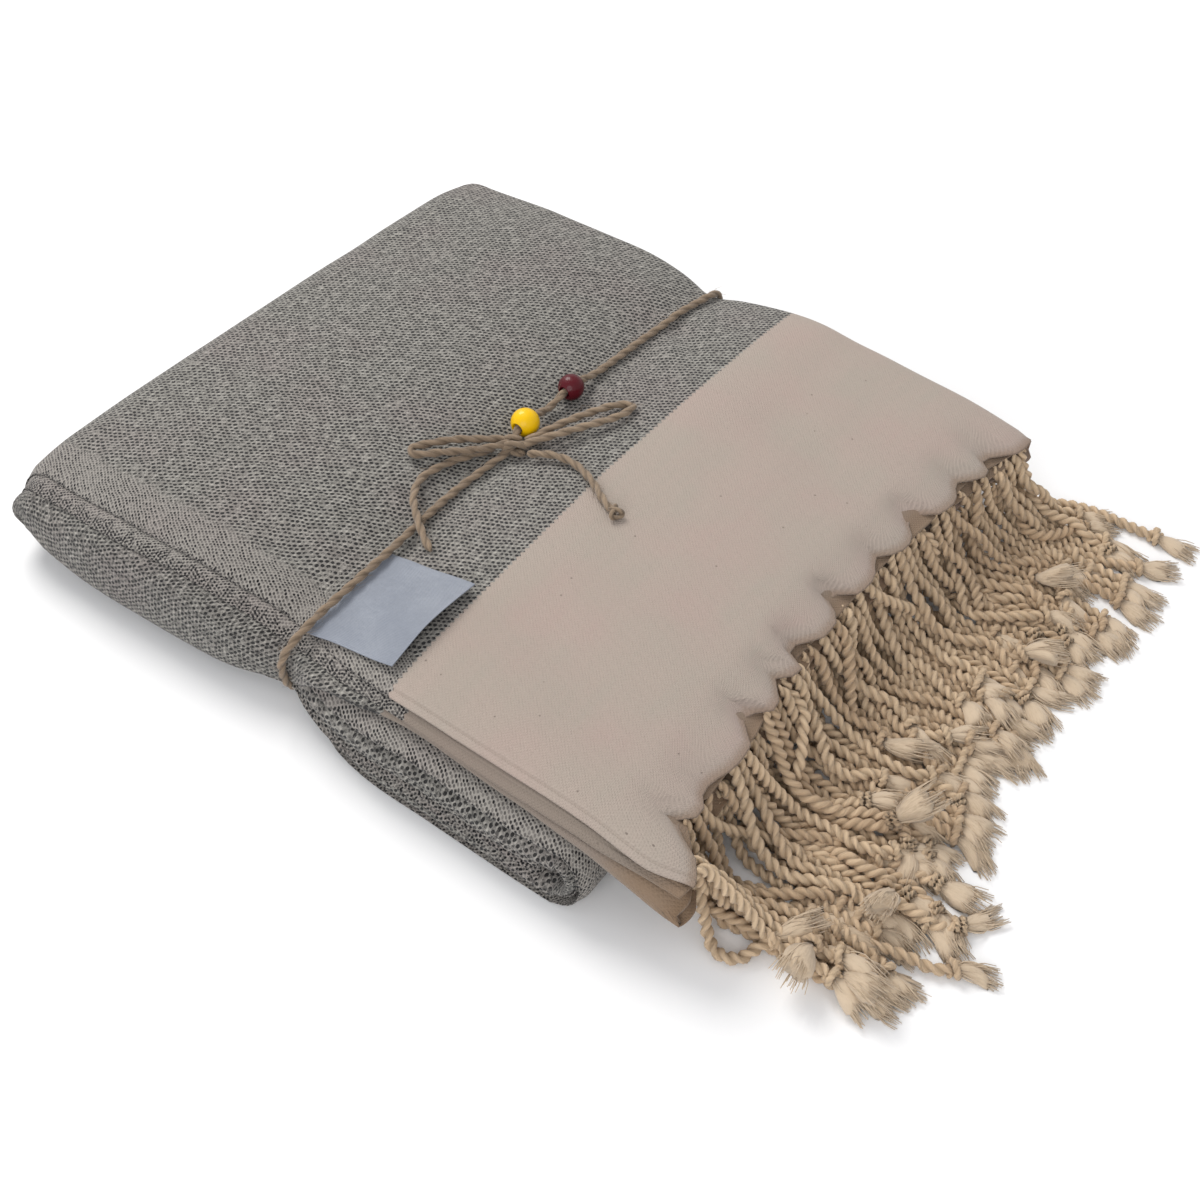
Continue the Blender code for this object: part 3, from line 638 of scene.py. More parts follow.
# Place across the cloth, and depth under its top face, q layers down past the near shoulder.
def shoulderBend(x, y, q, pitch, start, tilt):
    flat = np.maximum(y, -start)
    over = np.maximum(0.0, -start - y)
    ramp = ease((-flat - bundle["shoulder"]) / (start - bundle["shoulder"]))
    edgePitch = 0.82 * pitch
    centre = 4 * edgePitch + 0.0020
    n = q * (pitch + (edgePitch - pitch) * ease(over / 0.008))
    flatY = flat + n * np.sin(tilt) * ramp
    middle = centre - 2 * edgePitch
    most = math.radians(88)
    angle = np.minimum(tilt + over / middle, most)
    extra = np.maximum(0.0, over - middle * (most - tilt))
    wave = 0.0006 * ripple(x / 0.030 + 7, over / 0.011) + 0.0006 * swell(x / 0.055, over / 0.020 + 3)
    belly = 0.0016 * np.sin(np.pi * np.clip(extra / 0.022, 0, 1))
    out = centre - n + (wave + belly) * ease(over / 0.009)
    bentY = -start + centre * np.sin(tilt) - out * np.sin(angle) - extra * np.cos(angle)
    below = centre * np.cos(tilt) - out * np.cos(angle) + extra * np.sin(angle)
    return np.where(over > 0, bentY, flatY), np.where(over > 0, below, n)


# A point of the top level: flat, over the shoulder, or down the side.
def placeTop(x, y, q):
    x = np.full_like(y, x)
    start = nearWall(x) - bendBefore
    pitch = layerPitch(x, np.maximum(y, -start))
    tilt = np.arctan(slopeAt(x, -1.0)) * ease((x - bundle["leftTurn"]) / 0.02)
    placeY, below = shoulderBend(x, y, q, pitch, start, tilt)
    z = stackLift(x) + (allLayers - underAir) * pitch - below

    # the overhang beyond the turn under it
    sagStart = bundle["rightTurn"] + 0.006
    sag = ease((x - sagStart) / (bundle["clothEnd"] - sagStart))
    near = 0.45 + 0.55 * ease((bundle["halfWidth"] / 2 - y) / (1.4 * bundle["halfWidth"]))
    under = np.clip((q - 1.9) / 1.2, 0, 1)
    corner = ease((-y - 0.070) / 0.045)
    z = z - sag * (bundle["endDroop"] + under * (bundle["underDroop"] * near + bundle["pouch"] * corner))

    # the edge is drawn back between the groups of strands
    reach = ease((x - bundle["drawnFrom"]) / (bundle["clothEnd"] - bundle["drawnFrom"]))
    layer = np.clip(q, 0, 3.99).astype(int)
    shiftX = endShape(y)
    dip = np.zeros_like(x)
    for index, row in enumerate(endRows):
        arch = archShape(row, y)
        here = layer == index
        pleat = np.sin(y / 0.0014 + 2 * ripple(y / 0.013, index)) if index else 0.0
        back = row["arch"] * arch * (1 + 0.5 * ripple(y / 0.021, index * 3.0))
        shiftX = np.where(here, shiftX + row["out"] - back, shiftX)
        dip = np.where(here, 0.0010 * arch - 0.0005 + 0.0006 * pleat, dip)
    x = x + shiftX * reach
    z = z - dip * reach**3
    return warped(x, placeY, np.maximum(z, 0.0004))


# A point of the turn between two levels at either end of the bundle.
def placeTurn(centreX, centreDepth, side, angle, depth, y, startDepth):
    centreX = np.full_like(y, centreX)
    if startDepth == allLayers:   # the outer turn, whose near edge closes over the side
        start = nearWall(centreX) - bendBefore
        pitch = layerPitch(centreX, np.maximum(y, -start))
        placeY, below = shoulderBend(centreX, y, startDepth - depth, pitch, start, 0.0)
        radius = np.maximum((startDepth - centreDepth) * pitch - below, 0.0026)
    else:
        pitch, placeY = layerPitch(centreX, y), y
        radius = (depth - centreDepth) * pitch
    z = (centreDepth - underAir) * pitch + radius * math.sin(angle)
    x = centreX + side * bundle["squash"] * radius * math.cos(angle)
    spot = warped(centreX, placeY, np.maximum(z, 0.0))
    spot[:, 0] += x - centreX
    return spot


# How far the two selvedges, the near fold and the far fold of a level lie from the middle line.
def edgesAt(level, x):
    if level == 0:
        return {"far": float(farWall(x)), **{key: float(table(x)) for key, table in topEdges.items()}}
    shown = float(ease((x + 0.004) / 0.018))
    near = behindFlap + (float(nearWall(x)) - behindFlap) * shown
    near = min(near, float(nearWall(x)))
    wobble = 0.0005 * float(swell(x / 0.03 + 9 * level, 2.5))
    if level == 3:
        near -= 0.0070 * math.exp(-((x - bundle["waist"]) / 0.014) ** 2)
    edges = {key: near - inside + wobble for key, inside in lowEdges[level].items()}
    edges["far"] = float(farWall(x)) - lowEdges[level]["far"] + wobble
    return edges


sectionRun = {
    "edge": (0.0, 0.0006, 0.0014, 0.0026, 0.0042),
    "taper": 0.0050,        # width over which a selvedge thins out
    "nearSteps": (0.0, 0.0012, 0.0026, 0.0044, 0.0066, 0.0092, 0.0122, 0.0156, 0.0194, 0.0236,
                  0.0282, 0.0330),
    "topColumns": 58,
    "hiddenColumns": 7,
}


# Both faces of one level's section, as y, depth in the level and place across the cloth.
def clothSection(edges, thin):
    full = bundle["fill"] / 2
    selvedge, second, fold, far = (edges[key] for key in ("selvedge", "second", "fold", "far"))
    farCentre = far - folds["far"]["reach"]
    nearCentre = -fold + folds["near"]["reach"]
    tip, total = clothLooks["clothWidth"] / 2000, clothLooks["clothWidth"] / 1000
    edge, near, count = sectionRun["edge"], sectionRun["nearSteps"], sectionRun["hiddenColumns"]
    rows = []

    def add(y, q, ny, nq, v, scale=1.0):
        share = scale * thin
        rows.append((y, q + full * (1 - share), ny * share, nq * full * share, v))

    def taper(offset):
        return 0.16 + 0.84 * float(ease(offset / sectionRun["taper"]))

    def goRound(which, centre, v, start, way):
        bend = folds[which]
        for step in range(1, bend["steps"] + 1):
            a = start + way * math.pi * step / bend["steps"]
            out, up = math.cos(a), math.sin(a)
            add(centre + bend["reach"] * out, bend["layer"] + bend["half"] * up,
                way * bend["skin"] * out, way * up, v + bend["length"] * step / bend["steps"])

    # the top layer, from its selvedge to the far fold
    for offset in edge:
        add(-selvedge + offset, 0.5, 0, -1, offset, taper(offset))
    startY = -selvedge + edge[-1]
    for step in range(1, sectionRun["topColumns"] + 1):
        y = startY + (farCentre - startY) * step / sectionRun["topColumns"]
        add(y, 0.5, 0, -1, y + selvedge)
    farV = farCentre + selvedge
    goRound("far", farCentre, farV, -math.pi / 2, 1)

    # the lowest layer, back to the near fold
    nearEnd = nearCentre + near[-1]
    arc, turnLength = folds["far"]["length"], folds["near"]["length"]
    before, after = tip - turnLength / 2, tip + turnLength / 2
    for step in range(1, count + 1):
        share = step / count
        v = farV + arc + (before - near[-1] - farV - arc) * share
        add(farCentre + (nearEnd - farCentre) * share, 3.5, 0, 1, v)
    for offset in near[-2::-1]:
        add(nearCentre + offset, 3.5, 0, 1, before - offset)
    goRound("near", nearCentre, before, math.pi / 2, 1)

    # the third layer, to the inner fold, and the second, to the other selvedge
    for offset in near[1:]:
        add(nearCentre + offset, 2.5, 0, -1, after + offset)
    innerV = total - (farCentre + second) - folds["inner"]["length"]
    for step in range(1, count + 1):
        share = step / count
        v = after + near[-1] + (innerV - after - near[-1]) * share
        add(nearEnd + (farCentre - nearEnd) * share, 2.5, 0, -1, v)
    goRound("inner", farCentre, innerV, math.pi / 2, -1)
    secondEnd = -second + near[-1]
    for step in range(1, count + 1):
        share = step / count
        y = farCentre + (secondEnd - farCentre) * share
        add(y, 1.5, 0, 1, total - (y + second))
    for offset in near[-2:3:-1]:
        add(-second + offset, 1.5, 0, 1, total - offset)
    for offset in edge[::-1]:
        add(-second + offset, 1.5, 0, 1, total - offset, taper(offset))
    return np.array(rows)


def spread(start, end, step):
    count = max(2, int(round(abs(end - start) / step)) + 1)
    return list(np.linspace(start, end, count))


# Rings of the sweep, each with its edges, place along the cloth, thinning and a function.
def bundleRings():
    left, right, end = bundle["leftTurn"], bundle["rightTurn"], bundle["clothEnd"]
    pitch = 0.0023   # of a layer, for lengths round the turns
    rings = []
    hems = [end, 0.1429, 0.1420, 0.1408, 0.1393, 0.1375, 0.1355, 0.1333, 0.1310, 0.1285, 0.1260, 0.1230]
    hems += [0.1200, 0.1165]
    xs = hems + spread(right, 0.016, 0.0031) + spread(0.0138, -0.0038, 0.0018) + spread(-0.006, left, 0.0031)
    for x in xs:
        thin = 0.30 + 0.70 * float(ease((end - x) / 0.007))
        rings.append((edgesAt(0, x), end - x, thin, lambda y, q, x=x: placeTop(x, y, q)))
    u = end - left

    def turn(upper, lower, centreX, side, centreDepth, startDepth, steps, downwards, u):
        radius = (startDepth - 0.5 - centreDepth) * pitch * 0.95
        first, second = (upper, lower) if downwards else (lower, upper)
        firstEdges, secondEdges = edgesAt(first, centreX), edgesAt(second, centreX)
        for step in range(1, steps):
            share = step / steps
            angle = math.pi * (0.5 - share) if downwards else math.pi * (share - 0.5)
            edges = {key: value + (secondEdges[key] - value) * share for key, value in firstEdges.items()}

            def place(y, q, angle=angle):
                return placeTurn(centreX, centreDepth, side, angle, startDepth - q, y, startDepth)

            rings.append((edges, u + radius * math.pi * share, 1.0, place))
        return u + radius * math.pi

    def run(level, xs, u):
        for x in xs:
            edges = edgesAt(level, x)
            rings.append((edges, u + abs(x - xs[0]), 1.0, lambda y, q, x=x: placeLow(level, x, y, q)))
        return u + abs(xs[-1] - xs[0])

    inner = spread(left, -0.012, 0.0050) + spread(-0.009, 0.019, 0.0028) + spread(0.022, right, 0.0050)
    u = turn(0, 3, left, -1, 8, 16, 16, True, u)
    u = run(3, inner, u)
    u = turn(1, 3, right, 1, 6, 12, 14, False, u)
    u = run(1, inner[::-1], u)
    u = turn(1, 2, left, -1, 8, 12, 9, True, u)
    run(2, inner[:-1], u)
    return rings


def makeCloth():
    rings = bundleRings()
    faceA, faceB, uvs = [], [], []
    for edges, u, thin, place in rings:
        rows = clothSection(edges, thin)
        y, q, ny, nq, v = rows.T
        faceA.append(place(y + ny, q + nq))
        faceB.append(place(y - ny, q - nq))
        lag = 0.008 * ease((v - 0.55) / 0.35)   # the inner half of the cloth was folded a little askew
        uvs.append(np.stack([u + lag, v], -1))
    count, columns = len(rings), len(uvs[0])
    verts = np.concatenate([np.concatenate(faceA), np.concatenate(faceB)])
    uv = np.concatenate(uvs + uvs)
    other = count * columns
    quadsA = gridFaces(count, columns)
    quadsB = gridFaces(count, columns, start=other)[:, ::-1]
    rims = []
    for i in (0, columns - 1):
        a = np.arange(count - 1) * columns + i
        b = a + columns
        quad = np.stack([a, b, b + other, a + other], -1)
        rims.append(quad if i == 0 else quad[:, ::-1])
    for j in (0, count - 1):
        a = j * columns + np.arange(columns - 1)
        b = a + 1
        quad = np.stack([b, a, a + other, b + other], -1)
        rims.append(quad if j == 0 else quad[:, ::-1])
    faces = np.concatenate([quadsA, quadsB, *rims])
    corner = verts[faces]
    volume = np.einsum("ij,ij->i", corner[:, 0], np.cross(corner[:, 1], corner[:, 2])).sum()
    volume += np.einsum("ij,ij->i", corner[:, 0], np.cross(corner[:, 2], corner[:, 3])).sum()
    if volume < 0:
        faces = faces[:, ::-1]
    cloth = meshPiece("cloth_folded", verts, faces.tolist(), clothMaterial(), uv)
    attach(cloth, "root")
    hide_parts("cloth")
    print("cloth", len(faces) * 2, "triangles")
    return cloth


cloth = makeCloth()


# Height of the cloth at a place seen from above, left of the fringe.
def clothTop(x, y):
    x, y = np.asarray(x, float), np.asarray(y, float)
    start = x
    for _ in range(4):
        start = x - lean(start, y)
    height = stackHeight(start, y)
    return height + creaseDepth(start, y) * np.clip(height / bundle["creaseHeight"], 0, 1.1)


# Evenly spaced points on a smooth line through the stops.
def smoothLine(stops, step, closed=False):
    stops = np.asarray(stops, float)
    count = len(stops)
    spans = count if closed else count - 1
    t = np.linspace(0, 1, 12, endpoint=False)[:, None]
    parts = []
    for i in range(spans):
        places = [(i + k) % count if closed else min(max(i + k, 0), count - 1) for k in (-1, 0, 1, 2)]
        a, b, c, d = stops[places]
        square, cube = 2 * a - 5 * b + 4 * c - d, 3 * b - a - 3 * c + d
        parts.append(0.5 * (2 * b + (c - a) * t + square * t**2 + cube * t**3))
    parts.append(stops[:1] if closed else stops[-1:])
    dense = np.concatenate(parts)
    lengths = np.concatenate([[0], np.cumsum(np.linalg.norm(np.diff(dense, axis=0), axis=1))])
    wanted = np.linspace(0, lengths[-1], max(4, int(round(lengths[-1] / step)) + 1))
    line = np.stack([np.interp(wanted, lengths, dense[:, k]) for k in range(3)], -1)
    return (line[:-1] if closed else line), lengths[-1]


# Unit directions along and across a line, without twist.
def framesAlong(line, closed=False):
    ahead = np.roll(line, -1, 0) - np.roll(line, 1, 0) if closed else np.gradient(line, axis=0)
    ahead /= np.linalg.norm(ahead, axis=1)[:, None]
    side = np.cross(ahead[0], (0, 0, 1.0))
    if np.linalg.norm(side) < 1e-3:
        side = np.cross(ahead[0], (0, 1.0, 0))
    sides = []
    for direction in ahead:
        side = side - direction * (side @ direction)
        side = side / np.linalg.norm(side)
        sides.append(side)
    sides = np.array(sides)
    if closed:   # spread what the line turned over its whole length
        final = np.cross(ahead[0], np.cross(sides[-1], ahead[0]))
        final /= np.linalg.norm(final)
        turned = math.atan2(np.cross(sides[0], final) @ ahead[0], sides[0] @ final)
        back = -turned * np.arange(len(line)) / len(line)
        other = np.cross(ahead, sides)
        sides = sides * np.cos(back)[:, None] + other * np.sin(back)[:, None]
    return ahead, sides, np.cross(ahead, sides)


# Rings of a rope, whose plies wind along the line as lobes. Gives points, uv and groove.
def ropeRings(line, radius, lay, hand, points=10, closed=False, length=None, deep=1.0):
    ahead, side, other = framesAlong(line, closed)
    count = len(line)
    length = length or np.linalg.norm(np.diff(line, axis=0), axis=1).sum()
    run = np.linspace(0, length, count, endpoint=not closed)
    if closed:
        lay = length / max(1, round(length / lay))
    turn = hand * 2 * math.pi * run / lay
    a = 2 * math.pi * np.arange(points) / points
    offset, lobe = 0.45 * deep, 1 - 0.45 * deep
    local = ((a * 2 + math.pi) % (2 * math.pi) - math.pi) / 2   # round either of two plies
    shape = offset * np.cos(local) + np.sqrt(np.maximum(0.0, lobe**2 - (offset * np.sin(local)) ** 2))
    radius = np.broadcast_to(radius, (count,))
    angles = a[None, :] + turn[:, None]
    size = radius[:, None] * shape[None, :]
    rings = (line[:, None, :] + side[:, None, :] * (np.cos(angles) * size)[..., None]
             + other[:, None, :] * (np.sin(angles) * size)[..., None])
    uv = np.stack(np.broadcast_arrays(run[:, None], a[None, :] / (2 * math.pi)), -1)
    depth = 1 - (shape - shape.min()) / max(1e-9, np.ptp(shape))
    return rings, uv, np.broadcast_to(depth[None, :], angles.shape)


# Collects many small meshes into one.
class Bits:
    def __init__(self):
        self.verts, self.faces, self.uvs, self.values, self.count = [], [], [], {}, 0

    def add(self, rings, uv, closed=False, **values):
        rows, columns = rings.shape[:2]
        self.verts.append(rings.reshape(-1, 3))
        self.uvs.append(uv.reshape(-1, 2))
        self.faces += gridFaces(rows, columns, True, closed, self.count).tolist()
        if not closed:
            last = self.count + (rows - 1) * columns
            self.faces.append(list(range(self.count, self.count + columns))[::-1])
            self.faces.append(list(range(last, last + columns)))
        for key, number in values.items():
            numbers = np.broadcast_to(number, (rows, columns)).ravel().astype(float)
            self.values.setdefault(key, []).append(numbers)
        self.count += rows * columns

    def piece(self, name, material):
        values = {key: np.concatenate(parts) for key, parts in self.values.items()}
        verts, uvs = np.concatenate(self.verts), np.concatenate(self.uvs)
        made = meshPiece(name, verts, self.faces, material, uvs, values)
        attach(made, "root")
        print(name, sum(len(f) - 2 for f in self.faces), "triangles")
        return made


# A fine yarn with three sides through a few points, with a width for each point.
def addYarn(bits, points, angle, side, other, width, along, stripe, **values):
    corners = np.array([0, 2.094, 4.189]) + angle   # a third of a turn apart
    across = np.cos(corners)[None, :, None] * side + np.sin(corners)[None, :, None] * other
    rings = points[:, None, :] + across * width[:, None, None]
    uv = np.stack(np.broadcast_arrays(along, np.full((1, 3), stripe)), -1)
    bits.add(rings, uv, **values)


# Directions along and across the end of a line.
def endFrame(line, back):
    ahead = line[-1] - line[-back]
    ahead = ahead / np.linalg.norm(ahead)
    side = np.cross(ahead, (0, 0, 1.0))
    side /= np.linalg.norm(side)
    return line[-1], ahead, side


# Twisted fibre: painted shade in the grooves between the plies, with fine hairs along the plies.
def cordMaterial(name, looks):
    material, tree, shader = newTree(name)
    u, v = sheetUv(tree)
    strand = valueOf(tree, "strand")
    place = joined(u * 1000.0 * 0.35, v * looks["stripes"], strand * 31.0)
    fibres = noiseAt(tree, place, 1.0, 3.0, 0.65)
    tone = rangeOf(fibres * looks["fibre"] + strand * 0.35, 0.15, 0.95)
    groove = calc("POWER", valueOf(tree, "groove"), 1.6)
    shade = tuple(c * 0.42 for c in looks["dark"])
    colour = blend(groove * 0.62, blend(tone, looks["dark"], looks["light"]), shade)
    setShader(shader, colour, {"Roughness": 0.88, "Specular IOR Level": 0.3, "Sheen Weight": looks["shine"]})
    bumpOn(shader, fibres, 0.00035, 0.8)
    return material


fringe = {
    "radius": 0.00212,
    "lay": 0.0076,
    "step": 0.00078,        # between the points of a finished cord
    "nodes": 26,
    "settleSteps": 90,
    "sink": 0.00022,        # how far a strand falls in one step
    "look": 0.0075,         # how near two points lie before they are watched
    "longer": smoothTable((-0.1200, -0.0040), (-0.1050, -0.0010), (-0.0900, 0.0040), (-0.0700, 0.0100),
                          (-0.0450, 0.0050), (-0.0200, 0.0010), (0.0700, 0.0000), (0.1000, -0.0050),
                          (0.1200, -0.0080)),
    "fall": 0.040,
    "rootPitch": 0.0028,
    "tucked": 0.0042,
    "knot": 0.0045,
    "tuft": 0.0135,
    "yarns": 54,
    "nearLimit": -0.0980,
    "nearSide": smoothTable((0.1400, -0.1150), (0.1500, -0.1110), (0.1600, -0.1045), (0.1720, -0.1010),
                            (0.1900, -0.1010), (0.2120, -0.0990), (0.2400, -0.0960)),
    "farSide": smoothTable((0.1400, 0.1210), (0.1600, 0.1260), (0.1900, 0.1300), (0.2400, 0.1310)),
    "cord": {"light": (0.66, 0.50, 0.333), "dark": (0.44, 0.302, 0.185),
             "fibre": 0.85, "shine": 0.15, "stripes": 26.0},
    "brush": {"light": (0.60, 0.475, 0.34), "dark": (0.40, 0.30, 0.20),
              "fibre": 1.2, "shine": 0.3, "stripes": 9.0},
}


# Where a strand leaves the cloth's edge.
def rootOf(index, y):
    return placeTop(bundle["clothEnd"], np.array([y]), np.array([index + 0.95]))[0]


# Strands as they leave the cloth, before they settle on each other.
def firstStrands(chance):
    strands = []
    share = np.linspace(0, 1, fringe["nodes"])
    for index, row in enumerate(endRows):
        upper = index < 2
        for middle in row["cusps"]:
            members = 3 if chance.uniform() < row["third"] else 2
            crossed = -0.8 if upper and chance.uniform() < 0.4 else 1.0
            for member in range(members):
                offset = member - (members - 1) / 2
                rootY = middle + offset * fringe["rootPitch"] + chance.uniform(-0.0004, 0.0004)
                length = row["length"] + float(fringe["longer"](rootY))
                if not upper:
                    length = length - 0.014 * float(ease((-0.070 - rootY) / 0.030))
                length = length + row["varied"] * chance.uniform(-1, 0.7) - fringe["knot"] - 0.006
                root = rootOf(index, rootY)
                along = length * share
                # each strand fans out of its group, hooks or curls, and drifts a little
                fan = crossed * offset * row["fan"] / members * chance.uniform(0.4, 1.5)
                hooked = 0.0
                if upper and chance.uniform() < 0.5:
                    hooked = chance.choice((-1, 1)) * chance.uniform(0.003, 0.009)
                hook = hooked * np.sin(math.pi * np.clip(along / 0.030, 0, 1)) ** 1.5
                curl = chance.normal(0, row["curl"])
                sway = chance.normal(0, row["sway"])
                farOut = 0.014 * float(ease((rootY - 0.075) / 0.040))
                nearIn = 0.010 * float(ease((-0.075 - rootY) / 0.035))
                drift = chance.normal(0, 0.0060) + farOut + nearIn
                aside = (fan * ease(along / 0.026) + curl * np.sin(math.pi * share) ** 2 + hook
                         + sway * np.sin(2 * math.pi * share) * share + drift * share**1.6)
                tipY = rootY + fan + drift
                if tipY < fringe["nearLimit"]:
                    inwards = fringe["nearLimit"] - tipY + chance.uniform(0, 0.008)
                    aside = aside + inwards * ease(along / 0.035)
                lift = abs(chance.normal(0, row["lift"])) + (0.0030 if crossed < 0 and member == 0 else 0)
                height = root[2] + (row["rest"] - root[2]) * ease(along / fringe["fall"])
                height = height + lift * np.sin(math.pi * np.minimum(1, share * 1.4)) ** 2
                height = height - 0.0016 * (1 - ease(along / 0.006))
                points = np.stack([along, root[1] + aside, height], -1)
                run = np.linalg.norm(np.diff(points, axis=0), axis=1).sum()
                points[:, 0] = root[0] - fringe["tucked"] + along * length / run
                strands.append(points)
    return np.array(strands)


# Pairs of points of different strands that may meet in the next few steps.
def closePairs(flat, owner):
    found = []
    for i in range(0, len(flat), 200):
        gap = np.abs(flat[i:i + 200, None, :] - flat[None, :, :]).max(-1)
        a, b = np.nonzero(gap < fringe["look"])
        a = a + i
        keep = (a < b) & (owner[a] != owner[b])
        found.append(np.stack([a[keep], b[keep]], -1))
    return np.concatenate(found)


# Lets the strands sink on the ground and push each other apart, keeping their lengths.
def settle(strands, steps):
    count, nodes = strands.shape[:2]
    points = strands.copy()
    rest = np.linalg.norm(np.diff(strands, axis=1), axis=2)
    bend = strands[:, 1:-1] - (strands[:, :-2] + strands[:, 2:]) / 2
    owner = np.repeat(np.arange(count), nodes)
    apart = 2 * fringe["radius"] * 0.97
    pinned = points[:, :2].copy()
    for step in range(steps):
        if step % 8 == 0:
            pairs = closePairs(points.reshape(-1, 3), owner)
        points[:, 2:, 2] -= fringe["sink"]
        flat = points.reshape(-1, 3)
        line = flat[pairs[:, 1]] - flat[pairs[:, 0]]
        gap = np.linalg.norm(line, axis=1)
        near = gap < apart
        first, second = pairs[near, 0], pairs[near, 1]
        push = line[near] / np.maximum(gap[near], 1e-6)[:, None] * ((apart - gap[near]) * 0.36)[:, None]
        moved = np.zeros_like(flat)
        hits = np.zeros(len(flat))
        np.add.at(moved, first, -push)
        np.add.at(moved, second, push)
        np.add.at(hits, first, 1)
        np.add.at(hits, second, 1)
        flat += moved / np.maximum(1, hits * 0.6)[:, None]
        points = flat.reshape(count, nodes, 3)
        middle = (points[:, :-2] + points[:, 2:]) / 2 + bend
        points[:, 1:-1] += 0.16 * (middle - points[:, 1:-1])
        points[:, :2] = pinned
        for _ in range(2):
            for k in range(1, nodes - 1):
                span = points[:, k + 1] - points[:, k]
                size = np.linalg.norm(span, axis=1)
                fix = span * ((size - rest[:, k]) / size)[:, None]
                if k == 1:   # the point before it is pinned
                    points[:, 2] -= fix
                else:
                    points[:, k] += fix * 0.35
                    points[:, k + 1] -= fix * 0.65
        points[:, :, 2] = np.maximum(points[:, :, 2], fringe["radius"])
        for key, out in (("nearSide", -1), ("farSide", 1)):
            side = fringe[key](points[:, :, 0])
            past = (points[:, :, 1] - side) * out > 0
            points[:, :, 1] = np.where(past, 0.5 * points[:, :, 1] + 0.5 * side, points[:, :, 1])
        points[:, :2] = pinned
    return points


# Strands that lie away from the rest: one looped at the near corner, and two whose tips stick out past it.
looseStrands = (
    ((0.1510, -0.1050, 0.0240), (0.1550, -0.1066, 0.0190), (0.1590, -0.1080, 0.0125),
     (0.1622, -0.1098, 0.0060), (0.1660, -0.1118, 0.0026), (0.1705, -0.1124, 0.0024),
     (0.1746, -0.1100, 0.0024), (0.1766, -0.1055, 0.0036), (0.1790, -0.1010, 0.0050)),
    ((0.1957, -0.0677, 0.0060), (0.2036, -0.0668, 0.0050), (0.2096, -0.0660, 0.0040),
     (0.2140, -0.0655, 0.0028), (0.2168, -0.0640, 0.0025), (0.2190, -0.0615, 0.0024)),
    ((0.2018, -0.0837, 0.0060), (0.2074, -0.0822, 0.0045), (0.2135, -0.0800, 0.0032),
     (0.2185, -0.0790, 0.0025), (0.2220, -0.0775, 0.0024), (0.2246, -0.0752, 0.0024)),
)


def makeFringe():
    chance = np.random.RandomState(7)
    strands = firstStrands(chance)
    print("fringe", len(strands) + len(looseStrands), "cords")
    strands = settle(strands, fringe["settleSteps"])
    print("fringe settled")
    lines = [smoothLine(points, fringe["step"])[0] for points in (*strands, *looseStrands)]
    material = cordMaterial("fringe cord", fringe["cord"])
    tuftMaterial = cordMaterial("fringe tuft", fringe["brush"])
    halves = (Bits(), Bits())
    knots, tufts = Bits(), Bits()
    for number, line in enumerate(lines):
        tone = chance.uniform(0, 1)
        hand = 1 if chance.uniform() < 0.8 else -1
        size = fringe["radius"] * chance.uniform(0.92, 1.06)
        run = np.linspace(0, 1, len(line)) * len(line) * fringe["step"]
        radius = size * (0.34 + 0.66 * ease(run / 0.0075))
        lay = fringe["lay"] * chance.uniform(0.90, 1.12)
        rings, uv, groove = ropeRings(line, radius, lay, hand, points=12, deep=0.9)
        halves[number % 2].add(rings, uv, strand=tone, groove=groove)
        addKnot(knots, line, size, tone, hand)
        addTuft(tufts, line, size, tone, chance)
    pieces = [halves[0].piece("fringe_strands_a", material), halves[1].piece("fringe_strands_b", material),
              knots.piece("fringe_knots", material), tufts.piece("fringe_tufts", tuftMaterial)]
    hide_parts("fringe")
    return pieces


# One and a half turns of the strand round its own end.
def addKnot(bits, line, size, tone, hand):
    tip, ahead, side = endFrame(line, 4)
    other = np.cross(ahead, side)
    t = np.linspace(0, 1, 20)
    angle = hand * 2 * math.pi * 1.55 * t
    away = size * (0.80 + 0.35 * np.sin(math.pi * t))
    along = 0.0034 * t - 0.0010
    coil = (tip + ahead * along[:, None] + side * (np.cos(angle) * away)[:, None]
            + other * (np.sin(angle) * away)[:, None])
    coil[:, 2] = np.maximum(coil[:, 2], size * 0.62)
    radius = size * 0.68 * (0.75 + 0.25 * np.sin(math.pi * t))
    rings, uv, groove = ropeRings(coil, radius, 0.004, hand, points=8, deep=0.55)
    bits.add(rings, uv, strand=tone, groove=groove * 0.6)


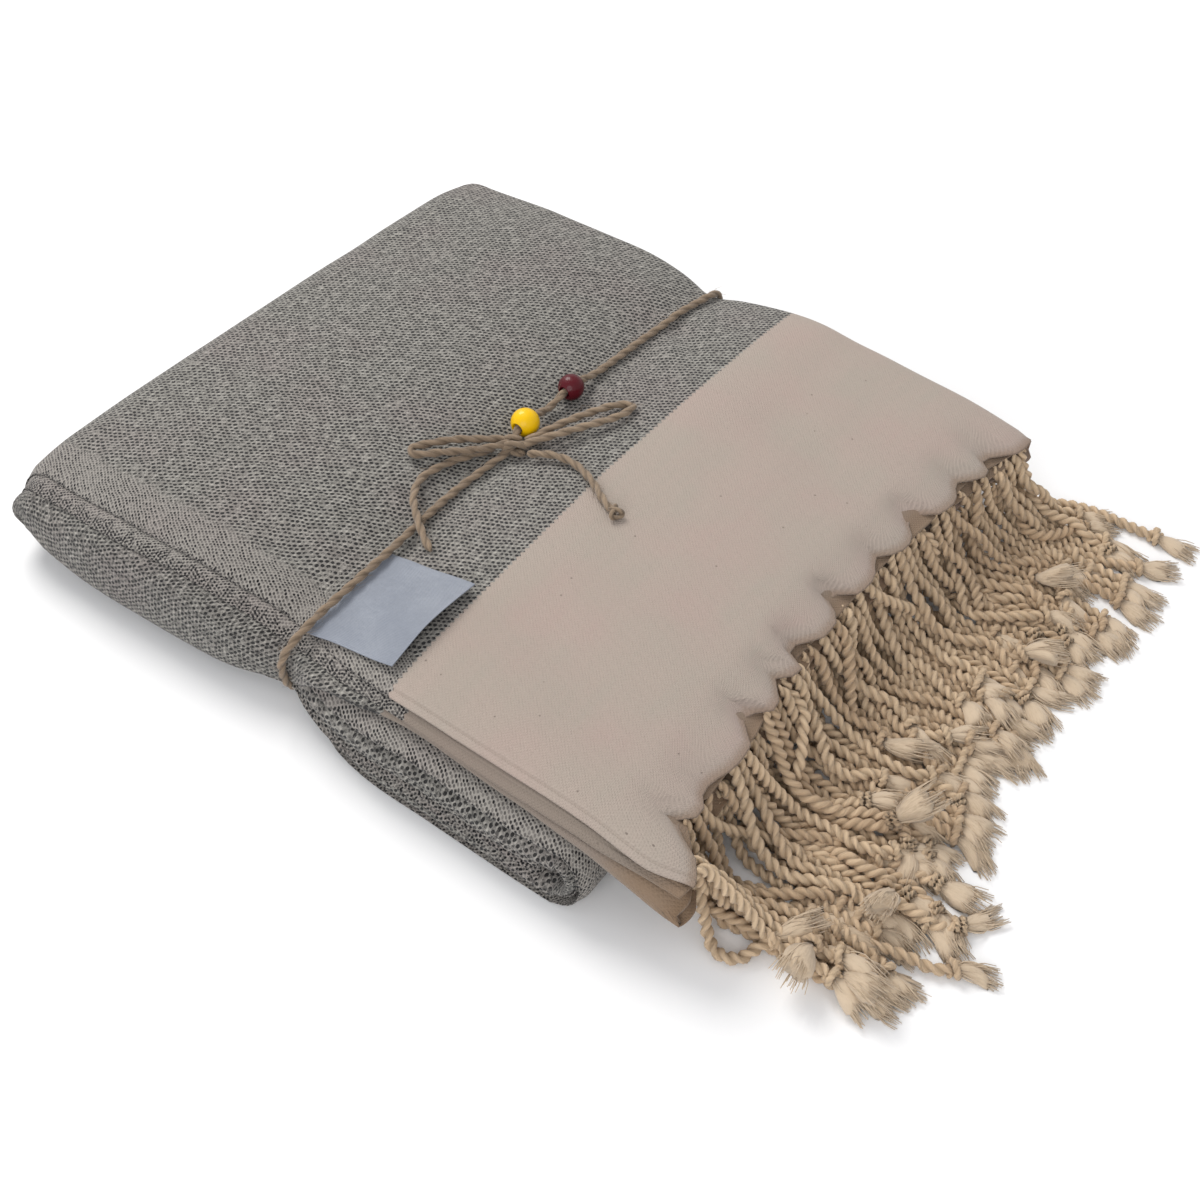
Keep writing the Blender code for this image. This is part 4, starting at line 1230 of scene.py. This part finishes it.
# A brush of loose yarns past the knot.
def addTuft(bits, line, size, tone, chance):
    tip, ahead, _ = endFrame(line, 4)
    ahead[2] = max(-0.35, ahead[2] - 0.12)
    ahead /= np.linalg.norm(ahead)
    side = np.cross(ahead, (0, 0, 1.0))
    side /= np.linalg.norm(side)
    other = np.cross(side, ahead)
    length = fringe["tuft"] * chance.uniform(0.78, 1.15)
    flare = chance.uniform(0.0032, 0.0050)
    swing = chance.normal(0, 0.0028)
    # a soft body that opens out of the knot
    rows, columns = 9, 14
    s = np.linspace(0, 1, rows)[:, None]
    a = np.linspace(0, 2 * math.pi, columns, endpoint=False)[None, :]
    wide = size * 0.55 + (flare - size * 0.55) * np.sin(np.minimum(s * 1.25, 1) * math.pi / 2) ** 1.2
    folded = 1 + 0.10 * np.sin(a * 5 + chance.uniform(0, 6) + s * 2)
    folded = folded + 0.07 * np.sin(a * 9 + chance.uniform(0, 6))
    blunt = np.where(s > 0.999, 0.55, 1.0)
    reach = length * 0.80 * np.minimum(s, 1) * (1 + 0.05 * np.sin(a * 4 + chance.uniform(0, 6)) * s)
    body = (tip + ahead * (0.0010 + reach)[..., None]
            + side * (np.cos(a) * wide * folded * blunt * 1.05 + swing * s**2)[..., None]
            + other * (np.sin(a) * wide * folded * blunt * 0.72 - 0.0018 * s**2)[..., None])
    body[..., 2] = np.maximum(body[..., 2], 0.0003)
    uv = np.stack(np.broadcast_arrays(length * s, a / (2 * math.pi) * 7), -1)
    # painted shade, deepest next to the knot and in the folds of the brush
    bits.add(body, uv, strand=tone, groove=0.5 * (1 - s) ** 2 + 0.10 * (folded < 0.96))
    t = np.linspace(0, 1, 5)[:, None]
    for number in range(fringe["yarns"]):
        a = chance.uniform(0, 2 * math.pi)
        r = 0.72 + 0.42 * chance.uniform() ** 2
        own = length * chance.uniform(0.84, 1.16)
        away = size * 0.50 * r + ((flare - size * 0.5) * r) * np.sin(t * 1.6) ** 1.2
        curl = chance.normal(0, 0.0006)
        points = (tip + ahead * (0.0010 + own * t)
                  + side * (math.cos(a) * away * 1.10 + swing * t**2 + curl * np.sin(t * 5))
                  + other * (math.sin(a) * away * 0.76 - 0.0018 * t**2 + curl * np.cos(t * 4) * t))
        points[:, 2] = np.maximum(points[:, 2], 0.0004 + 0.0006 * (number % 3))
        width = 0.00027 * (1 - 0.5 * t[:, 0])
        strand = np.clip(tone * 0.5 + 0.5 * chance.uniform(), 0, 1)
        # painted shade on each yarn near the knot
        addYarn(bits, points, a, side, other, width, own * t, number * 0.37,
                strand=strand, groove=0.35 * (1 - t[:, :1]) ** 2)


fringePieces = makeFringe()

twine = {
    "radius": 0.0014,
    "gap": 0.0001,
    "lay": 0.0125,
    "step": 0.0007,
    "hairs": 900,
    "hairLength": (0.0015, 0.0045),
    "hairWidth": 0.00007,
    "sideClear": 0.0024,    # how far the twine keeps from the bundle's sides
    "looks": {"light": (0.325, 0.240, 0.163), "dark": (0.135, 0.093, 0.061),
              "fibre": 0.95, "shine": 0.2, "stripes": 11.0},
}
bowLoops = (
    ((0.0045, -0.0068, 0.0030), (-0.0010, -0.0130, 0.0038), (-0.0080, -0.0212, 0.0032),
     (-0.0150, -0.0295, 0.0014), (-0.0172, -0.0325, 0.0006), (-0.0142, -0.0345, 0.0010),
     (-0.0070, -0.0285, 0.0032), (0.0005, -0.0185, 0.0038), (0.0062, -0.0085, 0.0034)),
    ((0.0100, -0.0035, 0.0030), (0.0150, 0.0090, 0.0036), (0.0195, 0.0205, 0.0024),
     (0.0238, 0.0305, 0.0008), (0.0292, 0.0330, 0.0004), (0.0288, 0.0245, 0.0012), (0.0225, 0.0120, 0.0024),
     (0.0160, 0.0010, 0.0034), (0.0105, -0.0055, 0.0030)),
)
freeEnds = {
    "twine_end_long": ((0.0146, -0.0088, 0.0020), (0.0228, -0.0052, 0.0014), (0.0318, -0.0045, 0.0004),
                       (0.0418, -0.0080, 0.0), (0.0510, -0.0135, 0.0), (0.0580, -0.0165, 0.0)),
    "twine_end_short": ((0.0018, -0.0112, 0.0), (-0.0020, -0.0200, 0.0), (-0.0052, -0.0300, 0.0),
                        (-0.0062, -0.0400, 0.0004), (-0.0020, -0.0490, 0.0026), (0.0055, -0.0560, 0.0038),
                        (0.0135, -0.0615, 0.0018), (0.0190, -0.0645, 0.0)),
}
wrapTop = ((0.0085, -0.1060, 0.0017), (0.0086, -0.0938, 0.0020), (0.0084, -0.0820, 0.0018),
           (0.0078, -0.0700, 0.0016), (0.0052, -0.0400, 0.0), (0.0058, -0.0200, 0.0),
           (0.0068, -0.0085, 0.0012), (0.0046, -0.0020, 0.0038), (0.0042, 0.0030, 0.0040),
           (0.0042, 0.0085, 0.0038), (0.0043, 0.0160, 0.0020), (0.0044, 0.0245, 0.0035),
           (0.0045, 0.0290, 0.0036), (0.0045, 0.0335, 0.0035), (0.0045, 0.0450, 0.0006),
           (0.0048, 0.0680, 0.0), (0.0058, 0.0850, 0.0002), (0.0062, 0.0938, 0.0003), (0.0070, 0.1030, 0.0))
wrapFar = ((0.0080, -0.0050, 0.0300), (0.0075, 0.0004, 0.0240), (0.0060, 0.0006, 0.0090),
           (0.0055, -0.0030, 0.0030))
wrapUnder = (0.1040, 0.0600, 0.0, -0.0600, -0.1040)
wrapNear = ((0.0048, -0.0120, 0.0017), (0.0045, -0.0075, 0.0030), (0.0045, -0.0022, 0.0085),
            (0.0062, 0.0004, 0.0220), (0.0082, -0.0042, 0.0297))
knotPlace = (0.0078, -0.0068)


def overCloth(x, y, height):
    return np.array([x, y, float(clothTop(x, y)) + twine["gap"] + twine["radius"] + height])


# The closed way of the twine round the bundle: over the cloth, down the far side, under and up.
def wrapStops():
    farEdge = float(farWall(bundle["waist"])) + twine["sideClear"]
    nearEdge = float(nearWall(bundle["waist"])) + twine["sideClear"]
    stops = [overCloth(*stop) for stop in wrapTop]
    stops += [(x, farEdge + past, z) for x, past, z in wrapFar]
    stops += [(bundle["waist"], y, twine["radius"] + 0.0003) for y in wrapUnder]
    stops += [(x, -nearEdge - past, z) for x, past, z in wrapNear]
    return np.array(stops)


def addTwine(bits, stops, tone, closed=False, ends=True):
    line, length = smoothLine(stops, twine["step"], closed)
    size = np.full(len(line), twine["radius"])
    if not closed and ends:
        run = np.linspace(0, length, len(line))
        size = size * (0.55 + 0.45 * ease(np.minimum(run, length - run) / 0.0015))
    rings, uv, groove = ropeRings(line, size * 1.06, twine["lay"], 1, points=12, closed=closed,
                                  length=length, deep=0.62)
    bits.add(rings, uv, closed=closed, strand=tone, groove=groove)
    return line


# Nearly two turns of twine round the crossing, as a flat half hitch.
def knotStops():
    x, y = knotPlace
    base = float(clothTop(x, y)) + twine["gap"]
    t = np.linspace(0, 1, 17)
    angle = 2 * math.pi * (1.75 * t + 0.12)
    across = x + 0.0030 * np.cos(angle) + 0.0036 * (t - 0.5)
    along = y + 0.0026 * np.cos(angle + 0.6) - 0.0044 * (t - 0.5)
    return np.stack([across, along, base + 0.0034 + 0.0023 * np.sin(angle)], -1)


# A small overhand knot at the end of the twine.
def addEndKnot(bits, line):
    tip, ahead, side = endFrame(line, 5)
    t = np.linspace(0, 1, 30)[:, None]
    angle = 2 * math.pi * (1.3 * t + 0.1)
    above = np.array([0, 0, 1.0]) * (0.0006 + 0.0009 * np.sin(angle))
    coil = (tip + ahead * (0.0012 * np.sin(angle * 0.5) - 0.0005) + side * (0.0019 * np.cos(angle))
            + above - ahead * (0.0016 * np.cos(angle * 0.5 + 0.4)))
    rings, uv, groove = ropeRings(coil, twine["radius"] * 0.78, 0.008, 1, points=10, deep=0.62)
    bits.add(rings, uv, strand=0.6, groove=groove)


def addHairs(bits, lines, chance):
    t = np.linspace(0, 1, 4)[:, None]
    for _ in range(twine["hairs"]):
        line = lines[chance.randint(len(lines))] if chance.uniform() < 0.45 else lines[0]
        i = chance.randint(1, len(line) - 1)
        centre, ahead = line[i], line[i] - line[i - 1]
        ahead = ahead / np.linalg.norm(ahead)
        out = chance.normal(0, 1, 3)
        out -= ahead * (out @ ahead)
        out /= np.linalg.norm(out)
        length = chance.uniform(*twine["hairLength"])
        forward = chance.uniform(0.3, 1.4) * (1 if chance.uniform() < 0.7 else -1)
        curl = np.cross(out, ahead)
        points = (centre + out * (twine["radius"] * 0.8 + length * 0.55 * t)
                  + ahead * (length * forward * t**1.3) + curl * (length * 0.25 * chance.normal() * t**2))
        points[:, 2] = np.maximum(points[:, 2], 0.0002)
        width = twine["hairWidth"] * (1 - 0.6 * t[:, 0])
        stripe = chance.uniform()
        addYarn(bits, points, 0.0, curl, out, width, length * t, stripe, strand=chance.uniform(), groove=0.0)


def makeTwine():
    chance = np.random.RandomState(21)
    material = cordMaterial("jute twine", twine["looks"])
    bits = Bits()
    lines = [addTwine(bits, wrapStops(), 0.45, closed=True)]
    for number, loop in enumerate(bowLoops):
        lines.append(addTwine(bits, [overCloth(*stop) for stop in loop], 0.3 + 0.4 * number, ends=False))
    lines.append(addTwine(bits, knotStops(), 0.55))
    tie = bits.piece("twine_bow", material)
    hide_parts("twine_tie")
    for name, stops in freeEnds.items():
        single = Bits()
        line = addTwine(single, [overCloth(*stop) for stop in stops], 0.6)
        lines.append(line)
        knotted = name == "twine_end_long"
        if knotted:
            addEndKnot(single, line)
        piece = single.piece(name + "_twine", material)
        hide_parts(name)
    hairs = Bits()
    addHairs(hairs, lines, chance)
    fuzz = hairs.piece("twine_hairs", material)
    print("twine tied")


makeTwine()

# Each bead sits at one of the stops of the twine over the cloth.
beads = {
    "bead_yellow": {"stop": 8, "radius": 0.0052, "colour": (0.90, 0.54, 0.0005)},
    "bead_red": {"stop": 12, "radius": 0.0048, "colour": (0.090, 0.0024, 0.008)},
}
boreRadius = 0.0021
lipWidth = (0.0004, 0.00022)   # along the bore, and out from it
glaze = {"Roughness": 0.30, "Specular IOR Level": 0.15, "Coat Weight": 0.3, "Coat Roughness": 0.03}


def beadMaterial(name, colour):
    material, tree, shader = newTree(name.replace("_", " "))
    speckle = rangeOf(noiseAt(tree, None, 900.0, 3.0), 0.3, 0.8, 0.0, 0.5)
    setShader(shader, blend(speckle, colour, tuple(c * 0.82 for c in colour)), glaze)
    bumpOn(shader, noiseAt(tree, None, 260.0), 0.00012, 0.4)
    return material


# A turned bead: a ball with a bore whose lips are rounded.
def makeBead(name, bead):
    radius = bead["radius"]
    before, centre, after = (overCloth(*wrapTop[bead["stop"] + k]) for k in (-1, 0, 1))
    axis = (after - before) / np.linalg.norm(after - before)
    side = np.cross(axis, (0, 0, 1.0))
    side /= np.linalg.norm(side)
    other = np.cross(axis, side)
    bore = math.asin(boreRadius / radius)
    outer = np.linspace(bore + 0.10, math.pi - bore - 0.10, 26)
    profile = [(radius * math.cos(a), radius * math.sin(a)) for a in outer]
    lip, wide = radius * math.cos(bore), boreRadius + lipWidth[1]
    profile += [(-lip, wide), (-lip + lipWidth[0], boreRadius), (0.0, boreRadius)]
    profile += [(lip - lipWidth[0], boreRadius), (lip, wide)]
    turns = np.linspace(0, 2 * math.pi, 40, endpoint=False)
    spokes = [side * math.cos(a) + other * math.sin(a) for a in turns]
    rings = np.array([[centre + axis * along + spoke * away for spoke in spokes] for along, away in profile])
    bits = Bits()
    bits.add(rings, np.zeros(rings.shape[:2] + (2,)), closed=True)
    piece = bits.piece(name + "_turned", beadMaterial(name, bead["colour"]))
    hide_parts(name)


for name, bead in beads.items():
    makeBead(name, bead)
print("beads made")

label = {
    "size": (0.0378, 0.0405),
    "place": (0.0248, -0.0912),
    "turn": math.radians(1.5),
    "thickness": 0.0005,
    "clear": 0.0007,
    "lift": 0.0042,         # of its raised corner
    "columns": 30,          # points each way
    "edge": 0.00018,
    "light": (0.230, 0.253, 0.300),
    "blue": (0.195, 0.217, 0.264),
    "thread": (0.175, 0.195, 0.240),
    "surface": {"Roughness": 0.42, "Sheen Weight": 0.3, "Anisotropic": 0.4},
}


def labelMaterial():
    material, tree, shader = newTree("satin ribbon")
    along, across = sheetPlace(tree)
    ribs = calc("SINE", across * 12.0)
    threads = noiseAt(tree, joined(along * 0.5, across * 5.0), 1.0, 3.0)
    tone = noiseAt(tree, joined(along, across), 0.06)
    colour = blend(rangeOf(tone, 0.35, 0.7), label["blue"], label["light"])
    colour = blend(rangeOf(threads, 0.35, 0.8, 0.0, 0.25), colour, label["thread"])
    setShader(shader, colour, label["surface"])
    bumpOn(shader, ribs * 0.5 + threads, 0.00010, 0.8)
    return material


def makeLabel():
    width, length = label["size"]
    count = label["columns"]
    s, t = np.meshgrid(np.linspace(-0.5, 0.5, count), np.linspace(-0.5, 0.5, count))
    x, y = s * width, t * length
    cos, sin = math.cos(label["turn"]), math.sin(label["turn"])
    placeX = label["place"][0] + x * cos - y * sin
    placeY = label["place"][1] + x * sin + y * cos
    lift = label["lift"] * (np.maximum(0, s + 0.1) / 0.6) ** 2 * (0.7 + 0.3 * np.cos(t * 5))
    wave = 0.00025 * np.sin(s * 9 + t * 3) * np.sin(t * 7 + 1)
    base = clothTop(placeX, placeY) + label["clear"] + lift + wave
    bottom = np.stack([placeX, placeY, base], -1).reshape(-1, 3)
    top = bottom + (0, 0, label["thickness"])
    uv = np.stack([x + width / 2, y + length / 2], -1).reshape(-1, 2)
    every = np.arange(count * count).reshape(count, count)
    rim = np.concatenate([every[0], every[1:, -1], every[-1, -2::-1], every[-2:0:-1, 0]])
    follow = np.roll(rim, -1)
    upper = count * count
    sides = np.stack([rim, follow, follow + upper, rim + upper], -1)
    faces = [gridFaces(count, count)[:, ::-1], gridFaces(count, count, start=upper), sides]
    piece = meshPiece("label_ribbon", np.concatenate([bottom, top]), np.concatenate(faces).tolist(),
                      labelMaterial(), np.concatenate([uv, uv]))
    soften = piece.modifiers.new("edges", "BEVEL")
    soften.width = label["edge"]
    soften.segments = 2
    soften.limit_method = "ANGLE"
    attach(piece, "root")
    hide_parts("label")


makeLabel()
print("label made")

studio = {
    "floor": (0.90, 0.90, 0.90),
    "floorSide": 3.0,
    "world": (0.98, 0.98, 1.0),
    "worldStrength": 0.66,
    "lamps": {
        "key": {"place": (-1.1, 0.35, 1.25), "size": 0.9, "energy": 19.5, "colour": (1.0, 0.985, 0.96)},
        "fill": {"place": (0.5, -1.4, 0.8), "size": 1.4, "energy": 12.0, "colour": (0.97, 0.98, 1.0)},
    },
}


def makeFloor():
    data = bpy.data.meshes.new("floor")
    side = studio["floorSide"]
    corners = [(-side, -side, 0), (side, -side, 0), (side, side, 0), (-side, side, 0)]
    data.from_pydata(corners, [], [(0, 1, 2, 3)])
    floor = bpy.data.objects.new("floor", data)
    bpy.context.scene.collection.objects.link(floor)
    material, tree, shader = newTree("pale floor")
    setShader(shader, studio["floor"], {"Roughness": 0.9})
    data.materials.append(material)


def makeLight():
    for name, spec in studio["lamps"].items():
        lamp = bpy.data.lights.new(name, "AREA")
        lamp.shape = "DISK"
        lamp.size = spec["size"]
        lamp.energy = spec["energy"]
        lamp.color = spec["colour"]
        light = bpy.data.objects.new(name, lamp)
        light.location = spec["place"]
        light.rotation_mode = "QUATERNION"
        light.rotation_quaternion = (-Vector(spec["place"])).to_track_quat("-Z", "Y")
        bpy.context.scene.collection.objects.link(light)
    world = bpy.data.worlds.new("studio")
    world.use_nodes = True
    sky = world.node_tree.nodes["Background"]
    plug(sky.inputs["Color"], studio["world"])
    plug(sky.inputs["Strength"], studio["worldStrength"])
    bpy.context.scene.world = world
    bpy.context.scene.view_settings.view_transform = "Standard"


makeFloor()
makeLight()
print("floor and light set")

bpy.context.view_layer.update()
